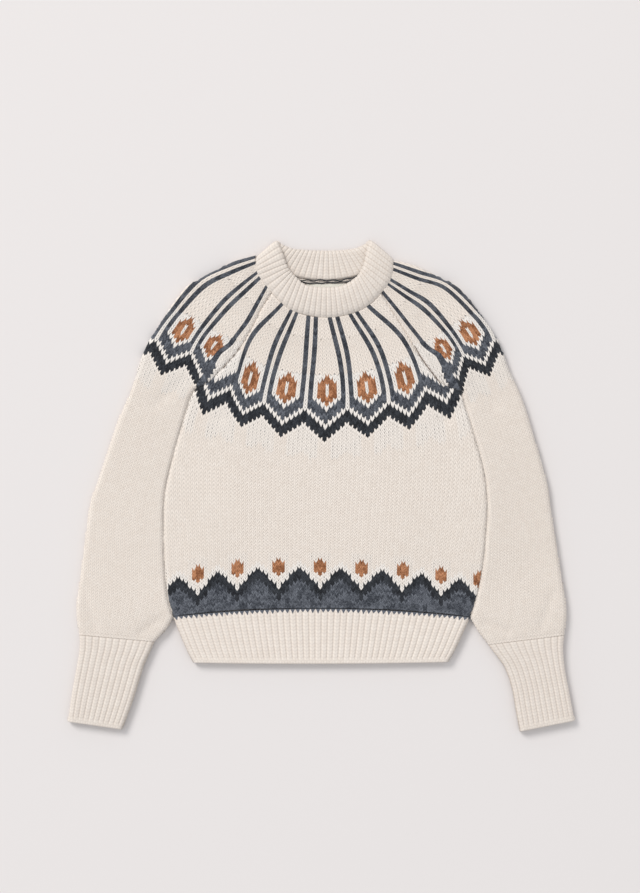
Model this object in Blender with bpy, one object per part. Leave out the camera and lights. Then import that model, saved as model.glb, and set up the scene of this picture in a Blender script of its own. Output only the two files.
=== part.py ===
"""A chunky knitted sweater with a round yoke, laid out flat on its back.

The frame: +X to the right as seen from above, +Y towards the neck, +Z up. The garment lies on z = 0,
with its origin at the middle of its box. Tables are in millimetres on the plan, seen from above,
and each row of a table is (x, y). The maker's pieces are a front, a back, two raglan sleeves, two
cuffs, a hem rib for the front and one for the back, a folded neckband and a bare label. Each is a
wall of cloth: outer points worked out from the plan and the height, and inner points one wall away.
"""

import math

import bmesh
import bpy
import numpy as np

MM = 0.001
PLAN_CENTRE = (-1.0, -1.7)

# Cloth thicknesses and heights, in millimetres
WALL = 4.4
LAYER_GAP = 3.4
FLAT_HEIGHT = 2 * WALL + LAYER_GAP
MID = FLAT_HEIGHT / 2
SEAM_GAP = 0.3
SIDE_ROUND = 6.2
FOLD_ROUND = 7.5
RIB_PROUD = 1.2
RIDGE = (0.24, 0.76)
HEM_WIDTH = 430
CUFF_WIDTH = 90
BAND_THICK = 7.6
LABEL_THICK = 0.8

# Rows and columns of the walls, and the shares of a width where columns crowd over a rounded edge
SIDE_ROWS = 12
RAGLAN_ROWS = 10
SLEEVE_END_ROWS = 3
BODY_COLUMNS = 12
SLEEVE_COLUMNS = 6
CUFF_COLUMNS = 4
BODY_EDGE = (0, 0.0009, 0.0034, 0.0075, 0.0145)
TUBE_EDGE = (0, 0.004, 0.014, 0.03, 0.055)
RIB_ROWS = {"hem": 3, "cuff": 5}
CURVE_STEPS = 16
RING_STEPS = 45
HEM_RIBS = 46
CUFF_RIBS = 11
COLLAR_RIBS = {"front": 34, "back": 24}

# Side seams, from the hem rib up to the armpit
SIDE = {
    "left": [(-216, -191), (-223, -167), (-228, -130), (-230, -80), (-229, -22),
             (-221, 23), (-205, 82), (-191, 127), (-182, 141)],
    "right": [(215, -192), (223, -169), (233, -123), (238.5, -65), (240, -22),
              (234, 26), (215, 93), (207.5, 116), (203, 136)],
}

# Raglan seams on the front and on the back, from the armpit up to the neckband
RAGLAN_FRONT = {
    "left": [(-182, 141), (-168, 146.5), (-155, 158), (-140, 174), (-122, 194),
             (-101.5, 228), (-87, 257), (-72.5, 279)],
    "right": [(203, 136), (193, 139), (173, 148.5), (143.5, 184.5), (120.5, 223),
              (101, 254), (85.5, 280)],
}
RAGLAN_BACK = {
    "left": [(-182, 141), (-166, 158), (-140, 198), (-105, 256), (-72, 309)],
    "right": [(203, 136), (184, 156), (156, 198), (118, 256), (81, 310)],
}

# The lines that the neckband is sewn to, left to right
NECK_FRONT = [(-72.5, 279), (-58, 264.3), (-33.4, 250.9), (-13.5, 246.6), (6.5, 244.8),
              (39.7, 250), (67.6, 263.2), (85.5, 280)]
NECK_BACK = [(-72, 309), (-40, 301.6), (6, 297.4), (49, 302.5), (81, 310)]

# The sleeve's fold along the shoulder, from the neckband down to the armpit's level
SHOULDER = {
    "left": [(-96, 328), (-123, 325), (-141, 318), (-177, 300), (-202, 283), (-236, 233.5),
             (-257, 199), (-267, 170)],
    "right": [(103, 326), (120, 322.5), (137, 317.5), (174, 300), (202, 283), (241, 233.5),
              (260, 199), (270, 170)],
}

# The sleeve's outer fold below that, and its inner edge below the body, both down to the cuff
ARM_FOLD = {
    "left": [(-267, 170), (-281, 129), (-296, 94), (-325, 7), (-337, -28), (-350, -125),
             (-357, -180), (-352.5, -218)],
    "right": [(270, 170), (289, 129), (302, 90), (326, 7), (333, -38), (346, -120),
              (355, -180), (352, -218.5)],
}
SLEEVE_HEM_SIDE = {
    "left": [(-216, -191), (-225, -208), (-243.5, -227.5)],
    "right": [(215, -192), (226, -211), (241.5, -232)],
}

# Cuffs: fold side and inner side, from the sleeve to the cast-off edge
CUFF_FOLD = {
    "left": [(-352.5, -218), (-352.6, -239), (-356.7, -265), (-363.5, -303), (-369, -343.5)],
    "right": [(352, -218.5), (350.6, -239), (353, -267), (361, -310), (367, -342)],
}
CUFF_INNER = {
    "left": [(-243.5, -227.5), (-249, -241), (-258, -260), (-267, -289), (-276.5, -319),
             (-290, -355)],
    "right": [(241.5, -232), (249.5, -243), (265, -264), (275.5, -294), (281.3, -326),
              (287, -358)],
}

# Hem rib: its two sides from the panel down to the cast-off edge
HEM_SIDE = {
    "left": [(-216, -191), (-209, -212), (-198, -240), (-184, -258)],
    "right": [(215, -192), (206, -212), (195, -237), (181.5, -257)],
}

# How far the middle of a body row stands above the line between its ends: (row share, rise).
# NECK_BOW moves a sleeve's row beside the neckband, and ARMPIT_ROUND is how fully the row at the
# armpit rounds down to its seam.
BODY_BOW = [(0.0, 12), (0.25, 6), (0.6, -18), (1.0, -46)]
HEM_BOW = {"top": 12, "bottom": -2}
NECK_BOW = 5.3
ARMPIT_ROUND = 0.3

# Neckband stations round the ring: seam x, y, z, then fold x, y, z, all on its middle surface
NECKBAND = [
    ("front middle", (6.5, 245.3, 11.4), (6.5, 288.6, 13.4)),
    ("front left", (-33.0, 252.0, 11.6), (-22.3, 291.0, 13.6)),
    ("neck corner left", (-56.8, 265.4, 11.9), (-38.5, 302.0, 13.8)),
    ("side left", (-87.0, 300.6, 12.0), (-50.5, 317.0, 13.4)),
    ("shoulder front left", (-93.8, 317.5, 11.7), (-58.0, 338.0, 12.8)),
    ("shoulder left", (-94.4, 327.5, 7.7), (-64.5, 353.4, 9.0)),
    ("shoulder back left", (-86.0, 321.5, 3.8), (-57.0, 348.6, 4.2)),
    ("back left", (-63.0, 308.5, 3.8), (-38.0, 342.2, 3.8)),
    ("back middle", (6.0, 298.6, 3.8), (6.5, 340.0, 3.8)),
    ("back right", (70.0, 309.0, 3.8), (43.0, 342.4, 3.8)),
    ("shoulder back right", (93.0, 320.5, 3.8), (61.5, 349.0, 4.2)),
    ("shoulder right", (101.5, 325.0, 7.7), (68.0, 354.0, 9.0)),
    ("shoulder front right", (101.0, 311.0, 11.7), (64.5, 338.0, 12.8)),
    ("side right", (93.8, 292.8, 12.0), (60.0, 318.0, 13.4)),
    ("neck corner right", (67.0, 263.8, 11.9), (50.0, 301.5, 13.8)),
    ("front right", (39.3, 250.5, 11.6), (30.0, 291.0, 13.6)),
]
NECKBAND_CROWN = 2.0

# Its ribs stand on the faces that look up. The outside face gains them and the inside face loses
# them as the upward part of the outside's normal goes through these values.
OUTSIDE_RIBS = (-0.75, -0.25)
INSIDE_RIBS = (-0.3, 0.2)

# The neckband's section, from its seam out over the outside to its fold and back on the inside:
# share of the way to the fold, height in half thicknesses, how proud a rib is outside and inside
NECKBAND_SECTION = [
    (0.00, 0.80, 0.3, 0), (0.10, 1.00, 1, 0), (0.45, 1.00, 1, 0), (0.80, 0.98, 1, 0),
    (0.95, 0.62, 1, 0), (1.00, 0.00, 0.6, 0.6), (0.95, -0.62, 0, 1), (0.80, -0.98, 0, 1),
    (0.45, -1.00, 0, 1), (0.08, -1.00, 0, 1), (0.00, -0.80, 0, 0.3),
]

# The largest soft creases in the upper layer: x, y of one end, x, y of the other, reach, depth
CREASES = [
    (-188, 120, -150, 96, 9.6, 1.4),
    (-205, 150, -240, 118, 9.6, 1.3),
    (210, 118, 176, 92, 9.6, 1.4),
    (222, 148, 250, 116, 9.6, 1.2),
    (-238, -196, -262, -214, 7.2, 1.2),
    (238, -200, 268, -212, 7.2, 1.4),
    (-330, -205, -346, -150, 7.2, 1.0),
    (318, -206, 334, -160, 7.2, 1.0),
]

LABEL = {"x": (-22, 38.5), "y": (277, 292)}

CREAM = (0.80, 0.745, 0.68)
LABEL_CREAM = (0.83, 0.80, 0.72)


def smooth_line(points, count):
    """Evenly spaced points on a smooth curve through the given ones."""
    p = np.array(points, float)
    p = np.vstack([2 * p[0] - p[1], p, 2 * p[-1] - p[-2]])
    dense = []
    for a, b, c, d in zip(p, p[1:], p[2:], p[3:]):
        for t in np.linspace(0, 1, CURVE_STEPS, endpoint=False):
            bend = (2 * a - 5 * b + 4 * c - d) * t * t + (3 * b - a - 3 * c + d) * t ** 3
            dense.append(0.5 * (2 * b + (c - a) * t + bend))
    dense.append(p[-2])
    dense = np.array(dense)
    steps = np.linalg.norm(np.diff(dense, axis=0), axis=1)
    along = np.concatenate([[0.0], np.cumsum(steps)])
    wanted = np.linspace(0, along[-1], count) if np.isscalar(count) else np.array(count) * along[-1]
    return np.column_stack([np.interp(wanted, along, dense[:, k]) for k in range(p.shape[1])])


def unit(v):
    return v / np.maximum(np.linalg.norm(v, axis=-1, keepdims=True), 1e-9)


def round_off(distance, radius):
    """1 at an edge and 0 beyond the radius, along a quarter circle."""
    t = 1 - np.clip(distance / radius, 0, 1)
    return 1 - np.sqrt(1 - t * t)


def creases(x, y):
    """Depth of the soft troughs at a place on the plan."""
    depth = np.zeros_like(x)
    for x0, y0, x1, y1, reach, deep in CREASES:
        run = np.array([x1 - x0, y1 - y0], float)
        length = np.linalg.norm(run)
        along = ((x - x0) * run[0] + (y - y0) * run[1]) / length ** 2
        nearest = np.clip(along, 0, 1)
        away = np.hypot(x - x0 - nearest * run[0], y - y0 - nearest * run[1])
        depth += deep * np.exp(-((away / reach) ** 2))
    return depth


def add_object(name, vertices, faces, colour, roughness):
    """A closed mesh in metres about the plan's centre, with its own material."""
    placed = np.array(vertices, float) - np.array([*PLAN_CENTRE, 0.0])
    mesh = bpy.data.meshes.new(name)
    mesh.from_pydata((placed * MM).tolist(), [], faces)
    work = bmesh.new()
    work.from_mesh(mesh)
    bmesh.ops.recalc_face_normals(work, faces=work.faces)
    work.to_mesh(mesh)
    work.free()
    material = bpy.data.materials.new(name)
    material.use_nodes = True
    principled = material.node_tree.nodes["Principled BSDF"]
    principled.inputs["Base Color"].default_value = (*colour, 1)
    principled.inputs["Roughness"].default_value = roughness
    principled.inputs["Metallic"].default_value = 0
    mesh.materials.append(material)
    mesh.shade_smooth()
    mesh.set_sharp_from_angle(angle=math.radians(50))
    item = bpy.data.objects.new(name, mesh)
    bpy.context.scene.collection.objects.link(item)
    return item


def wall(name, outer, inner, joined_from=None):
    """A wall between two grids of points. From a joined row on, its first and last columns are one."""
    rows, columns = outer.shape[:2]
    joined_from = rows if joined_from is None else joined_from
    index = -np.ones((2, rows, columns), int)
    vertices = []
    for side, grid in enumerate((outer, inner)):
        for r in range(rows):
            for c in range(columns):
                if r >= joined_from and c == columns - 1:
                    index[side, r, c] = index[side, r, 0]
                    continue
                index[side, r, c] = len(vertices)
                vertices.append(grid[r, c])
    faces = []
    for r in range(rows - 1):
        for c in range(columns - 1):
            corners = [(r, c), (r, c + 1), (r + 1, c + 1), (r + 1, c)]
            faces.append([index[0, i, j] for i, j in corners])
            faces.append([index[1, i, j] for i, j in reversed(corners)])
    ends = [[(0, c) for c in range(columns)], [(rows - 1, c) for c in reversed(range(columns))]]
    edges = [[(r, 0) for r in reversed(range(rows))], [(r, columns - 1) for r in range(rows)]]
    for line in ends + edges:
        for a, b in zip(line, line[1:]):
            inside_joined_seam = a[1] == b[1] and min(a[0], b[0]) >= joined_from
            if not inside_joined_seam:
                faces.append([index[0][b], index[0][a], index[1][a], index[1][b]])
    return add_object(name, vertices, faces, CREAM, 0.9)


def grid_normals(grid):
    """Unit normals of a grid, on the side that its rows and columns turn to."""
    return unit(np.cross(np.gradient(grid, axis=1), np.gradient(grid, axis=0)))


def facing(normals, up):
    """The same normals, turned to point mostly up or down."""
    flip = np.where((normals[..., 2] * up) < 0, -1.0, 1.0)
    return normals * flip[..., None]


def square_ends(normals, starts, ends):
    """Keeps the first and last rows' wall thickness in the plane of their cut."""
    for row in (0, -1):
        along = unit(ends[row] - starts[row])
        across = np.array([-along[1], along[0], 0])
        lean = (normals[row] @ across)[:, None]
        normals[row] = unit(normals[row] - across * lean)


def edge_columns(near, spans):
    """Shares of a row's width: close together over its rounded edges, even between."""
    middle = np.linspace(near[-1], 1 - near[-1], spans + 1)[1:-1]
    return np.array([*near, *middle, *(1 - n for n in reversed(near))])


def outward(line):
    """Horizontal directions square to a line on the plan, pointing to its left as it runs."""
    along = unit(np.gradient(line, axis=0))
    return np.column_stack([-along[:, 1], along[:, 0], np.zeros(len(line))])


def panel(name, left, right, shares, bow, roundness, front, relief=None, crease=True):
    """A front or back wall between its two edges; bow moves each row's points on the plan."""
    width = np.linalg.norm(right - left, axis=1)[:, None]
    plan = left[:, None] + (right - left)[:, None] * shares[None, :, None] + bow
    drop = round_off(shares[None] * width, SIDE_ROUND)
    drop = drop + round_off((1 - shares[None]) * width, SIDE_ROUND)
    drop = drop * roundness[:, None] * (MID - SEAM_GAP / 2)
    x, y = plan[..., 0], plan[..., 1]
    z = FLAT_HEIGHT - drop if front else drop
    if front and crease:
        z = z - creases(x, y) * (1 - drop / MID)
    outer = np.dstack([x, y, z])
    up = 1 if front else -1
    normals = facing(grid_normals(outer), up)
    for column, line, side in ((0, left, 1), (-1, right, -1)):
        level = outward(line) * side
        tilt = roundness[:, None]
        normals[:, column] = unit(level * tilt + np.array([0, 0, up]) * (1 - tilt))
    square_ends(normals, left, right)
    inner = outer - normals * WALL
    if relief is not None:
        outer = outer + normals * relief[..., None]
    return wall(name, outer, inner)


def inset(line, amount):
    """A seam line moved sideways on the plan, to its right as it runs."""
    return line - outward(line)[:, :2] * amount


def tube(name, inner_top, inner_bottom, fold, top, bottom, bows, roundness, joined_from, relief):
    """A flattened sleeve or cuff. Each row runs from its inner edge over the top to the fold and
    back below. Above its joined rows it is open, from the front's raglan seam to the back's."""
    rows = len(fold)
    upper = inner_top[:, None] + (fold - inner_top)[:, None] * top[None, :, None] + bows[0]
    lower = fold[:, None] + (inner_bottom - fold)[:, None] * bottom[None, :, None] + bows[1]
    plan = np.concatenate([upper, lower[:, 1:]], axis=1)
    width_top = np.linalg.norm(fold - inner_top, axis=1)[:, None]
    width_low = np.linalg.norm(fold - inner_bottom, axis=1)[:, None]
    tilt = roundness[:, None]
    seam_drop = round_off(top[None] * width_top, SIDE_ROUND) * tilt * MID
    fold_drop = round_off((1 - top[None]) * width_top, FOLD_ROUND) * MID
    z_top = FLAT_HEIGHT - seam_drop - fold_drop
    z_top = z_top - creases(upper[..., 0], upper[..., 1]) * (1 - (seam_drop + fold_drop) / MID)
    seam_drop = round_off((1 - bottom[None]) * width_low, SIDE_ROUND) * tilt * MID
    fold_drop = round_off(bottom[None] * width_low, FOLD_ROUND) * MID
    z_low = seam_drop + fold_drop
    z = np.concatenate([z_top, z_low[:, 1:]], axis=1)
    apart = (np.arange(rows) < joined_from) & (roundness == 1)
    z[apart, 0] += SEAM_GAP / 2
    z[apart, -1] -= SEAM_GAP / 2
    outer = np.dstack([plan, z])
    normals = grid_normals(outer)
    middle = len(top) // 2
    if normals[rows // 2, middle, 2] < 0:
        normals = -normals
    side = 1 if fold[0, 0] > inner_top[0, 0] else -1
    for column, line, up in ((0, inner_top, 1), (-1, inner_bottom, -1)):
        level = outward(line)
        level = level * np.where(level[:, :1] * side > 0, -1, 1)
        normals[:, column] = unit(level * tilt + np.array([0, 0, up]) * (1 - tilt))
    square_ends(normals, inner_top, fold)
    inner = outer - normals * WALL
    if relief is not None:
        outer = outer + normals * relief[..., None]
    return wall(name, outer, inner, joined_from)


def side_points(side):
    """Points of a side seam shared by the body and the sleeve, from the hem up to the armpit."""
    return smooth_line(SIDE[side], SIDE_ROWS + 1)


def raglan_points(side, which):
    """Points of a raglan seam shared by a panel and a sleeve, from the armpit up to the neck."""
    return smooth_line(which[side], RAGLAN_ROWS + 1)


def body_roundness():
    """How fully each body row rounds down to its seam: all of it below the armpit, none above."""
    raglan = np.zeros(RAGLAN_ROWS)
    raglan[0] = ARMPIT_ROUND
    return np.concatenate([np.ones(SIDE_ROWS + 1), raglan])


def body_panel(name, raglan, neck, front):
    edges = {}
    for side, inward in (("left", 1), ("right", -1)):
        line = np.vstack([side_points(side), raglan_points(side, raglan)[1:]])
        line = inset(line, inward * SEAM_GAP / 2)
        line[0] += (0, SEAM_GAP / 2)
        line[-1] -= (0, SEAM_GAP)
        edges[side] = line
    shares = edge_columns(BODY_EDGE, BODY_COLUMNS)
    rows = SIDE_ROWS + RAGLAN_ROWS + 1
    row_share = np.minimum(np.arange(rows) / SIDE_ROWS, 1)
    rise = np.interp(row_share, *np.array(BODY_BOW, float).T)
    neck_share = np.clip((np.arange(rows) - SIDE_ROWS) / RAGLAN_ROWS, 0, 1)
    belly = 4 * shares * (1 - shares)
    bow = np.zeros((rows, len(shares), 2))
    bow[..., 1] = (rise * (1 - neck_share))[:, None] * belly[None]
    neck_line = smooth_line(neck, shares)
    chord = neck_line[0] + (neck_line[-1] - neck_line[0]) * shares[:, None]
    bow += (neck_line - chord)[None] * neck_share[:, None, None]
    return panel(name, edges["left"], edges["right"], shares, bow, body_roundness(), front)


def rib_relief(shares, ribs, width):
    """Height of the ribs at each share of the width, which fades where the sides round down."""
    phase = (shares * ribs) % 1
    ridge = (phase > RIDGE[0] / 2) & (phase < 1 - RIDGE[0] / 2)
    edge_fade = np.clip(np.minimum(shares, 1 - shares) * width / SIDE_ROUND, 0, 1)
    return np.where(ridge, RIB_PROUD, 0.0) * edge_fade


def rib_shares(ribs, near):
    """Shares of the width at each rib's groove and at both sides of its flat ridge."""
    inside = [(k + part) / ribs for k in range(ribs) for part in (0, *RIDGE)][1:]
    return np.array([*near, *inside, *(1 - n for n in reversed(near))])


def hem_rib(name, front):
    rows = RIB_ROWS["hem"] + 1
    edges = {}
    for side, inward in (("left", -1), ("right", 1)):
        line = smooth_line(HEM_SIDE[side], rows)
        line[0] -= (0, SEAM_GAP / 2)
        line = inset(line, inward * SEAM_GAP / 2)
        edges[side] = line[::-1]
    if front:
        shares = rib_shares(HEM_RIBS, BODY_EDGE[:3])
        relief = np.tile(rib_relief(shares, HEM_RIBS, HEM_WIDTH), (rows, 1))
    else:
        shares = edge_columns(BODY_EDGE, BODY_COLUMNS)
        relief = None
    rise = np.linspace(HEM_BOW["bottom"], HEM_BOW["top"], rows)
    bow = np.zeros((rows, len(shares), 2))
    bow[..., 1] = rise[:, None] * 4 * shares * (1 - shares)
    return panel(name, edges["left"], edges["right"], shares, bow, np.ones(rows), front,
                 relief, crease=False)


def sleeve(side):
    outside = -1 if side == "left" else 1
    front_seam = raglan_points(side, RAGLAN_FRONT)[::-1]
    back_seam = raglan_points(side, RAGLAN_BACK)[::-1]
    under_seam = side_points(side)[::-1][1:]
    end = smooth_line(SLEEVE_HEM_SIDE[side], SLEEVE_END_ROWS + 1)[1:]
    shoulder = smooth_line(SHOULDER[side], RAGLAN_ROWS + 1)
    inner_length = np.linalg.norm(np.diff(np.vstack([back_seam[-1:], under_seam, end]), axis=0), axis=1)
    shares_down = np.cumsum(inner_length) / inner_length.sum()
    fold = np.vstack([shoulder, smooth_line(ARM_FOLD[side], shares_down)])
    top_line = np.vstack([front_seam, under_seam, end])
    low_line = np.vstack([back_seam, under_seam, end])
    top_line = top_line + outward(top_line)[:, :2] * outside * SEAM_GAP / 2
    low_line = low_line + outward(low_line)[:, :2] * outside * SEAM_GAP / 2
    for line in (fold, top_line, low_line):
        line[-1] += (0, SEAM_GAP / 2)
    top = edge_columns(TUBE_EDGE, SLEEVE_COLUMNS)
    bottom = 1 - top[::-1]
    rows = len(fold)
    neck_pull = np.clip(1 - np.arange(rows) / RAGLAN_ROWS, 0, 1)
    bow_top = np.zeros((rows, len(top), 2))
    bow_top[..., 0] = outside * NECK_BOW * (neck_pull[:, None] * 4 * top * (1 - top))
    bow_low = np.zeros((rows, len(bottom), 2))
    roundness = np.concatenate([body_roundness()[::-1], np.ones(SLEEVE_END_ROWS)])
    return tube(f"sleeve_{side}", top_line, low_line, fold, top, bottom, (bow_top, bow_low),
                roundness, RAGLAN_ROWS + 1, None)


def cuff(side):
    rows = RIB_ROWS["cuff"] + 1
    fold = smooth_line(CUFF_FOLD[side], rows)
    inner_line = smooth_line(CUFF_INNER[side], rows)
    fold[0] -= (0, SEAM_GAP / 2)
    inner_line[0] -= (0, SEAM_GAP / 2)
    top = rib_shares(CUFF_RIBS, TUBE_EDGE[:3])
    bottom = edge_columns(TUBE_EDGE, CUFF_COLUMNS)
    ribs = rib_relief(top, CUFF_RIBS, CUFF_WIDTH)
    relief = np.tile(np.concatenate([ribs, np.zeros(len(bottom) - 1)]), (rows, 1))
    level = np.zeros((rows, len(top), 2))
    below = np.zeros((rows, len(bottom), 2))
    return tube(f"cuff_{side}", inner_line, inner_line.copy(), fold, top, bottom, (level, below),
                np.ones(rows), 0, relief)


def ring_line(points, shares):
    """Points at shares of a smooth closed curve whose stations are evenly numbered."""
    p = np.array(points, float)
    count = len(p)
    result = []
    for share in shares:
        at = share % 1 * count
        k = int(at)
        t = at - k
        a, b, c, d = (p[(k + n) % count] for n in (-1, 0, 1, 2))
        bend = (2 * a - 5 * b + 4 * c - d) * t * t + (3 * b - a - 3 * c + d) * t ** 3
        result.append(0.5 * (2 * b + (c - a) * t + bend))
    return np.array(result)


def neckband():
    """The folded rib round the neck: a ring of rounded sections from its seam to its fold."""
    seam = [row[1] for row in NECKBAND]
    fold = [row[2] for row in NECKBAND]
    names = [row[0] for row in NECKBAND]
    even = np.linspace(0, 1, RING_STEPS * len(NECKBAND) + 1)
    middle_line = (ring_line(seam, even) + ring_line(fold, even)) / 2
    run = np.concatenate([[0], np.cumsum(np.linalg.norm(np.diff(middle_line, axis=0), axis=1))])
    left_shoulder = run[RING_STEPS * names.index("shoulder left")]
    right_shoulder = run[RING_STEPS * names.index("shoulder right")]
    stops = []
    phases = []
    half = COLLAR_RIBS["front"] // 2
    stretches = ((0, left_shoulder, half), (left_shoulder, right_shoulder, COLLAR_RIBS["back"]),
                 (right_shoulder, run[-1], half))
    for start, end, ribs in stretches:
        for k in range(ribs):
            for part, ridge in ((0, 0), (RIDGE[0], 1), (RIDGE[1], 1)):
                stops.append(start + (end - start) * (k + part) / ribs)
                phases.append(ridge)
    shares = np.interp(stops, run, even)
    base = ring_line(seam, shares)
    tip = ring_line(fold, shares)
    ahead = ring_line(seam, shares + even[1]) + ring_line(fold, shares + even[1])
    behind = ring_line(seam, shares - even[1]) + ring_line(fold, shares - even[1])
    along = unit(tip - base)
    normal = unit(np.cross(ahead - behind, along))
    if normal[0, 2] < 0:
        normal = -normal
    half_thick = BAND_THICK / 2
    ridge = np.array(phases) * RIB_PROUD
    outside_up = np.interp(normal[:, 2], OUTSIDE_RIBS, (0, 1))
    inside_up = np.interp(normal[:, 2], INSIDE_RIBS, (1, 0))
    rings = []
    for share, height, outside, inside in NECKBAND_SECTION:
        lift = ridge * (outside * outside_up + inside * inside_up)
        crown = NECKBAND_CROWN * math.sin(math.pi * share) * np.clip(normal[:, 2], 0, 1)
        side = 1 if height >= 0 else -1
        centre = base + (tip - base) * share
        across = half_thick * height + side * lift
        rings.append(centre + normal * across[:, None] + np.array([0, 0, 1]) * crown[:, None])
    grid = np.array(rings)
    grid[..., 2] = np.maximum(grid[..., 2], 0)
    count_a, count_b = grid.shape[:2]
    faces = []
    for a in range(count_a):
        for b in range(count_b):
            a1, b1 = (a + 1) % count_a, (b + 1) % count_b
            faces.append([a * count_b + b, a * count_b + b1, a1 * count_b + b1, a1 * count_b + b])
    return add_object("neckband", grid.reshape(-1, 3), faces, CREAM, 0.9)


def label():
    """A bare woven label, sewn inside the back of the neck."""
    low = WALL + SEAM_GAP
    (x0, x1), (y0, y1) = LABEL["x"], LABEL["y"]
    corners = [(x0, y0), (x1, y0), (x1, y1), (x0, y1)]
    vertices = [(x, y, low) for x, y in corners] + [(x, y, low + LABEL_THICK) for x, y in corners]
    faces = [[3, 2, 1, 0], [4, 5, 6, 7], [0, 1, 5, 4], [1, 2, 6, 5], [2, 3, 7, 6], [3, 0, 4, 7]]
    return add_object("neck_label", vertices, faces, LABEL_CREAM, 0.7)


def clear_scene():
    for item in list(bpy.data.objects):
        bpy.data.objects.remove(item)


def main():
    clear_scene()
    body_panel("front", RAGLAN_FRONT, NECK_FRONT, True)
    body_panel("back", RAGLAN_BACK, NECK_BACK, False)
    hem_rib("hem_rib_front", True)
    hem_rib("hem_rib_back", False)
    for side in ("left", "right"):
        sleeve(side)
        cuff(side)
    neckband()
    label()


main()
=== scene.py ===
# %% [markdown]
# This lesson dresses a chunky yoke sweater that lies flat on its back. The solids are already there,
# as plain walls of cloth. Here each wall is knitted again, stitch by stitch, with its colour pattern,
# and gets its yarn, its light and its camera. The first cell loads the solids, which fix every size.

# %% Load the solids
import math
import bpy
import numpy as np
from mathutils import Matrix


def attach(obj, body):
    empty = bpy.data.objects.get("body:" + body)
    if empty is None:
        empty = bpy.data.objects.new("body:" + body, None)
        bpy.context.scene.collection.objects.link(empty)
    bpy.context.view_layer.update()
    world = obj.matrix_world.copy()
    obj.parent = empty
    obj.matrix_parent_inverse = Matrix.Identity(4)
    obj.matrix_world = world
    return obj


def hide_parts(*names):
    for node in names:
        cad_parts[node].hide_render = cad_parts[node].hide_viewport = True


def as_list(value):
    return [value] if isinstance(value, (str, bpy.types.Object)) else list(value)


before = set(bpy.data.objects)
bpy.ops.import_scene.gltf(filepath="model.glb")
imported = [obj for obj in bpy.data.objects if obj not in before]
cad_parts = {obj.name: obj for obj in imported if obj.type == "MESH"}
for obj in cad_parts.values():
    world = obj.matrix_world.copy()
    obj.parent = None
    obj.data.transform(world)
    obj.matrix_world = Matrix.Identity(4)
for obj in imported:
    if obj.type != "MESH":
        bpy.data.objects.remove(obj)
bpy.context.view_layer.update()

# %% [markdown]
# All the garment's sizes are in millimetres on a plan seen from above, with +Y towards the neck. The
# plan's zero is a place on the chest, and the garment's own zero lies a little left of it and below,
# so that the box is centred. Places of single stitches are read off the photograph in its pixels:
# one pixel is 1.45 mm of cloth. The seam gap is only a hair's breadth, because wool closes it.

# %% Measures of the garment
MM = 0.001
PLAN_CENTRE = np.array([-1.0, -1.7, 0.0])
PIXEL = 1.45
PHOTO_ZERO = (322, 485)
WALL = 4.4
FLAT_HEIGHT = 12.2
MID = FLAT_HEIGHT / 2
SEAM_GAP = 0.06
SIDE_ROUND = 6.2
FOLD_ROUND = 7.5
FRAME_PIXELS = (640, 893)


def plan(pixel):
    """The place on the plan, in millimetres, of a place in the photograph."""
    return np.array([(pixel[0] - PHOTO_ZERO[0]) * PIXEL, (PHOTO_ZERO[1] - pixel[1]) * PIXEL])


print("photo frame on the cloth:", [round(side * PIXEL) for side in FRAME_PIXELS], "mm")

# %% [markdown]
# A garment is drafted from its seams. These are the seam lines and folds of the solids, as short
# lists of (x, y) that a smooth curve goes through: the side seams, the raglan seams of the front and
# of the back, the back of the neck, the fold of each sleeve, and the edges of the ribs.

# %% Seam lines and folds
SIDE = {
    "left": [(-216, -191), (-223, -167), (-228, -130), (-230, -80), (-229, -22),
             (-221, 23), (-205, 82), (-191, 127), (-182, 141)],
    "right": [(215, -192), (223, -169), (233, -123), (238.5, -65), (240, -22),
              (234, 26), (215, 93), (207.5, 116), (203, 136)],
}
RAGLAN_FRONT = {
    "left": [(-182, 141), (-168, 146.5), (-155, 158), (-140, 174), (-122, 194),
             (-101.5, 228), (-87, 257), (-72.5, 279)],
    "right": [(203, 136), (193, 139), (173, 148.5), (143.5, 184.5), (120.5, 223),
              (101, 254), (85.5, 280)],
}
RAGLAN_BACK = {
    "left": [(-182, 141), (-166, 158), (-140, 198), (-105, 256), (-72, 309)],
    "right": [(203, 136), (184, 156), (156, 198), (118, 256), (81, 310)],
}
NECK_BACK = [(-72, 309), (-40, 301.6), (6, 297.4), (49, 302.5), (81, 310)]
SHOULDER = {
    "left": [(-96, 333.5), (-123, 326.5), (-141, 318.5), (-177, 300), (-202, 283), (-236, 233.5),
             (-257, 199), (-267, 170)],
    "right": [(103, 326), (120, 322.5), (137, 317.5), (174, 300), (202, 283), (241, 233.5),
              (260, 199), (270, 170)],
}
ARM_FOLD = {
    "left": [(-267, 170), (-281, 129), (-296, 94), (-325, 7), (-337, -28), (-350, -125),
             (-357, -180), (-352.5, -218)],
    "right": [(270, 170), (289, 129), (302, 90), (326, 7), (333, -38), (346, -120),
              (355, -180), (352, -218.5)],
}
SLEEVE_HEM_SIDE = {
    "left": [(-216, -191), (-225, -208), (-243.5, -227.5)],
    "right": [(215, -192), (226, -211), (241.5, -232)],
}
CUFF_FOLD = {
    "left": [(-352.5, -218), (-352.6, -239), (-356.7, -265), (-363.5, -303), (-369, -343.5)],
    "right": [(352, -218.5), (350.6, -239), (353, -267), (361, -310), (367, -342)],
}
CUFF_INNER = {
    "left": [(-243.5, -227.5), (-249, -241), (-258, -260), (-267, -289), (-276.5, -319),
             (-290, -355)],
    "right": [(241.5, -232), (249.5, -243), (265, -264), (275.5, -294), (281.3, -326),
              (287, -358)],
}
HEM_SIDE = {
    "left": [(-216, -191), (-208, -212), (-196.5, -239), (-187, -258)],
    "right": [(215, -192), (206, -212), (194.5, -237), (183.5, -257)],
}
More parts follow.
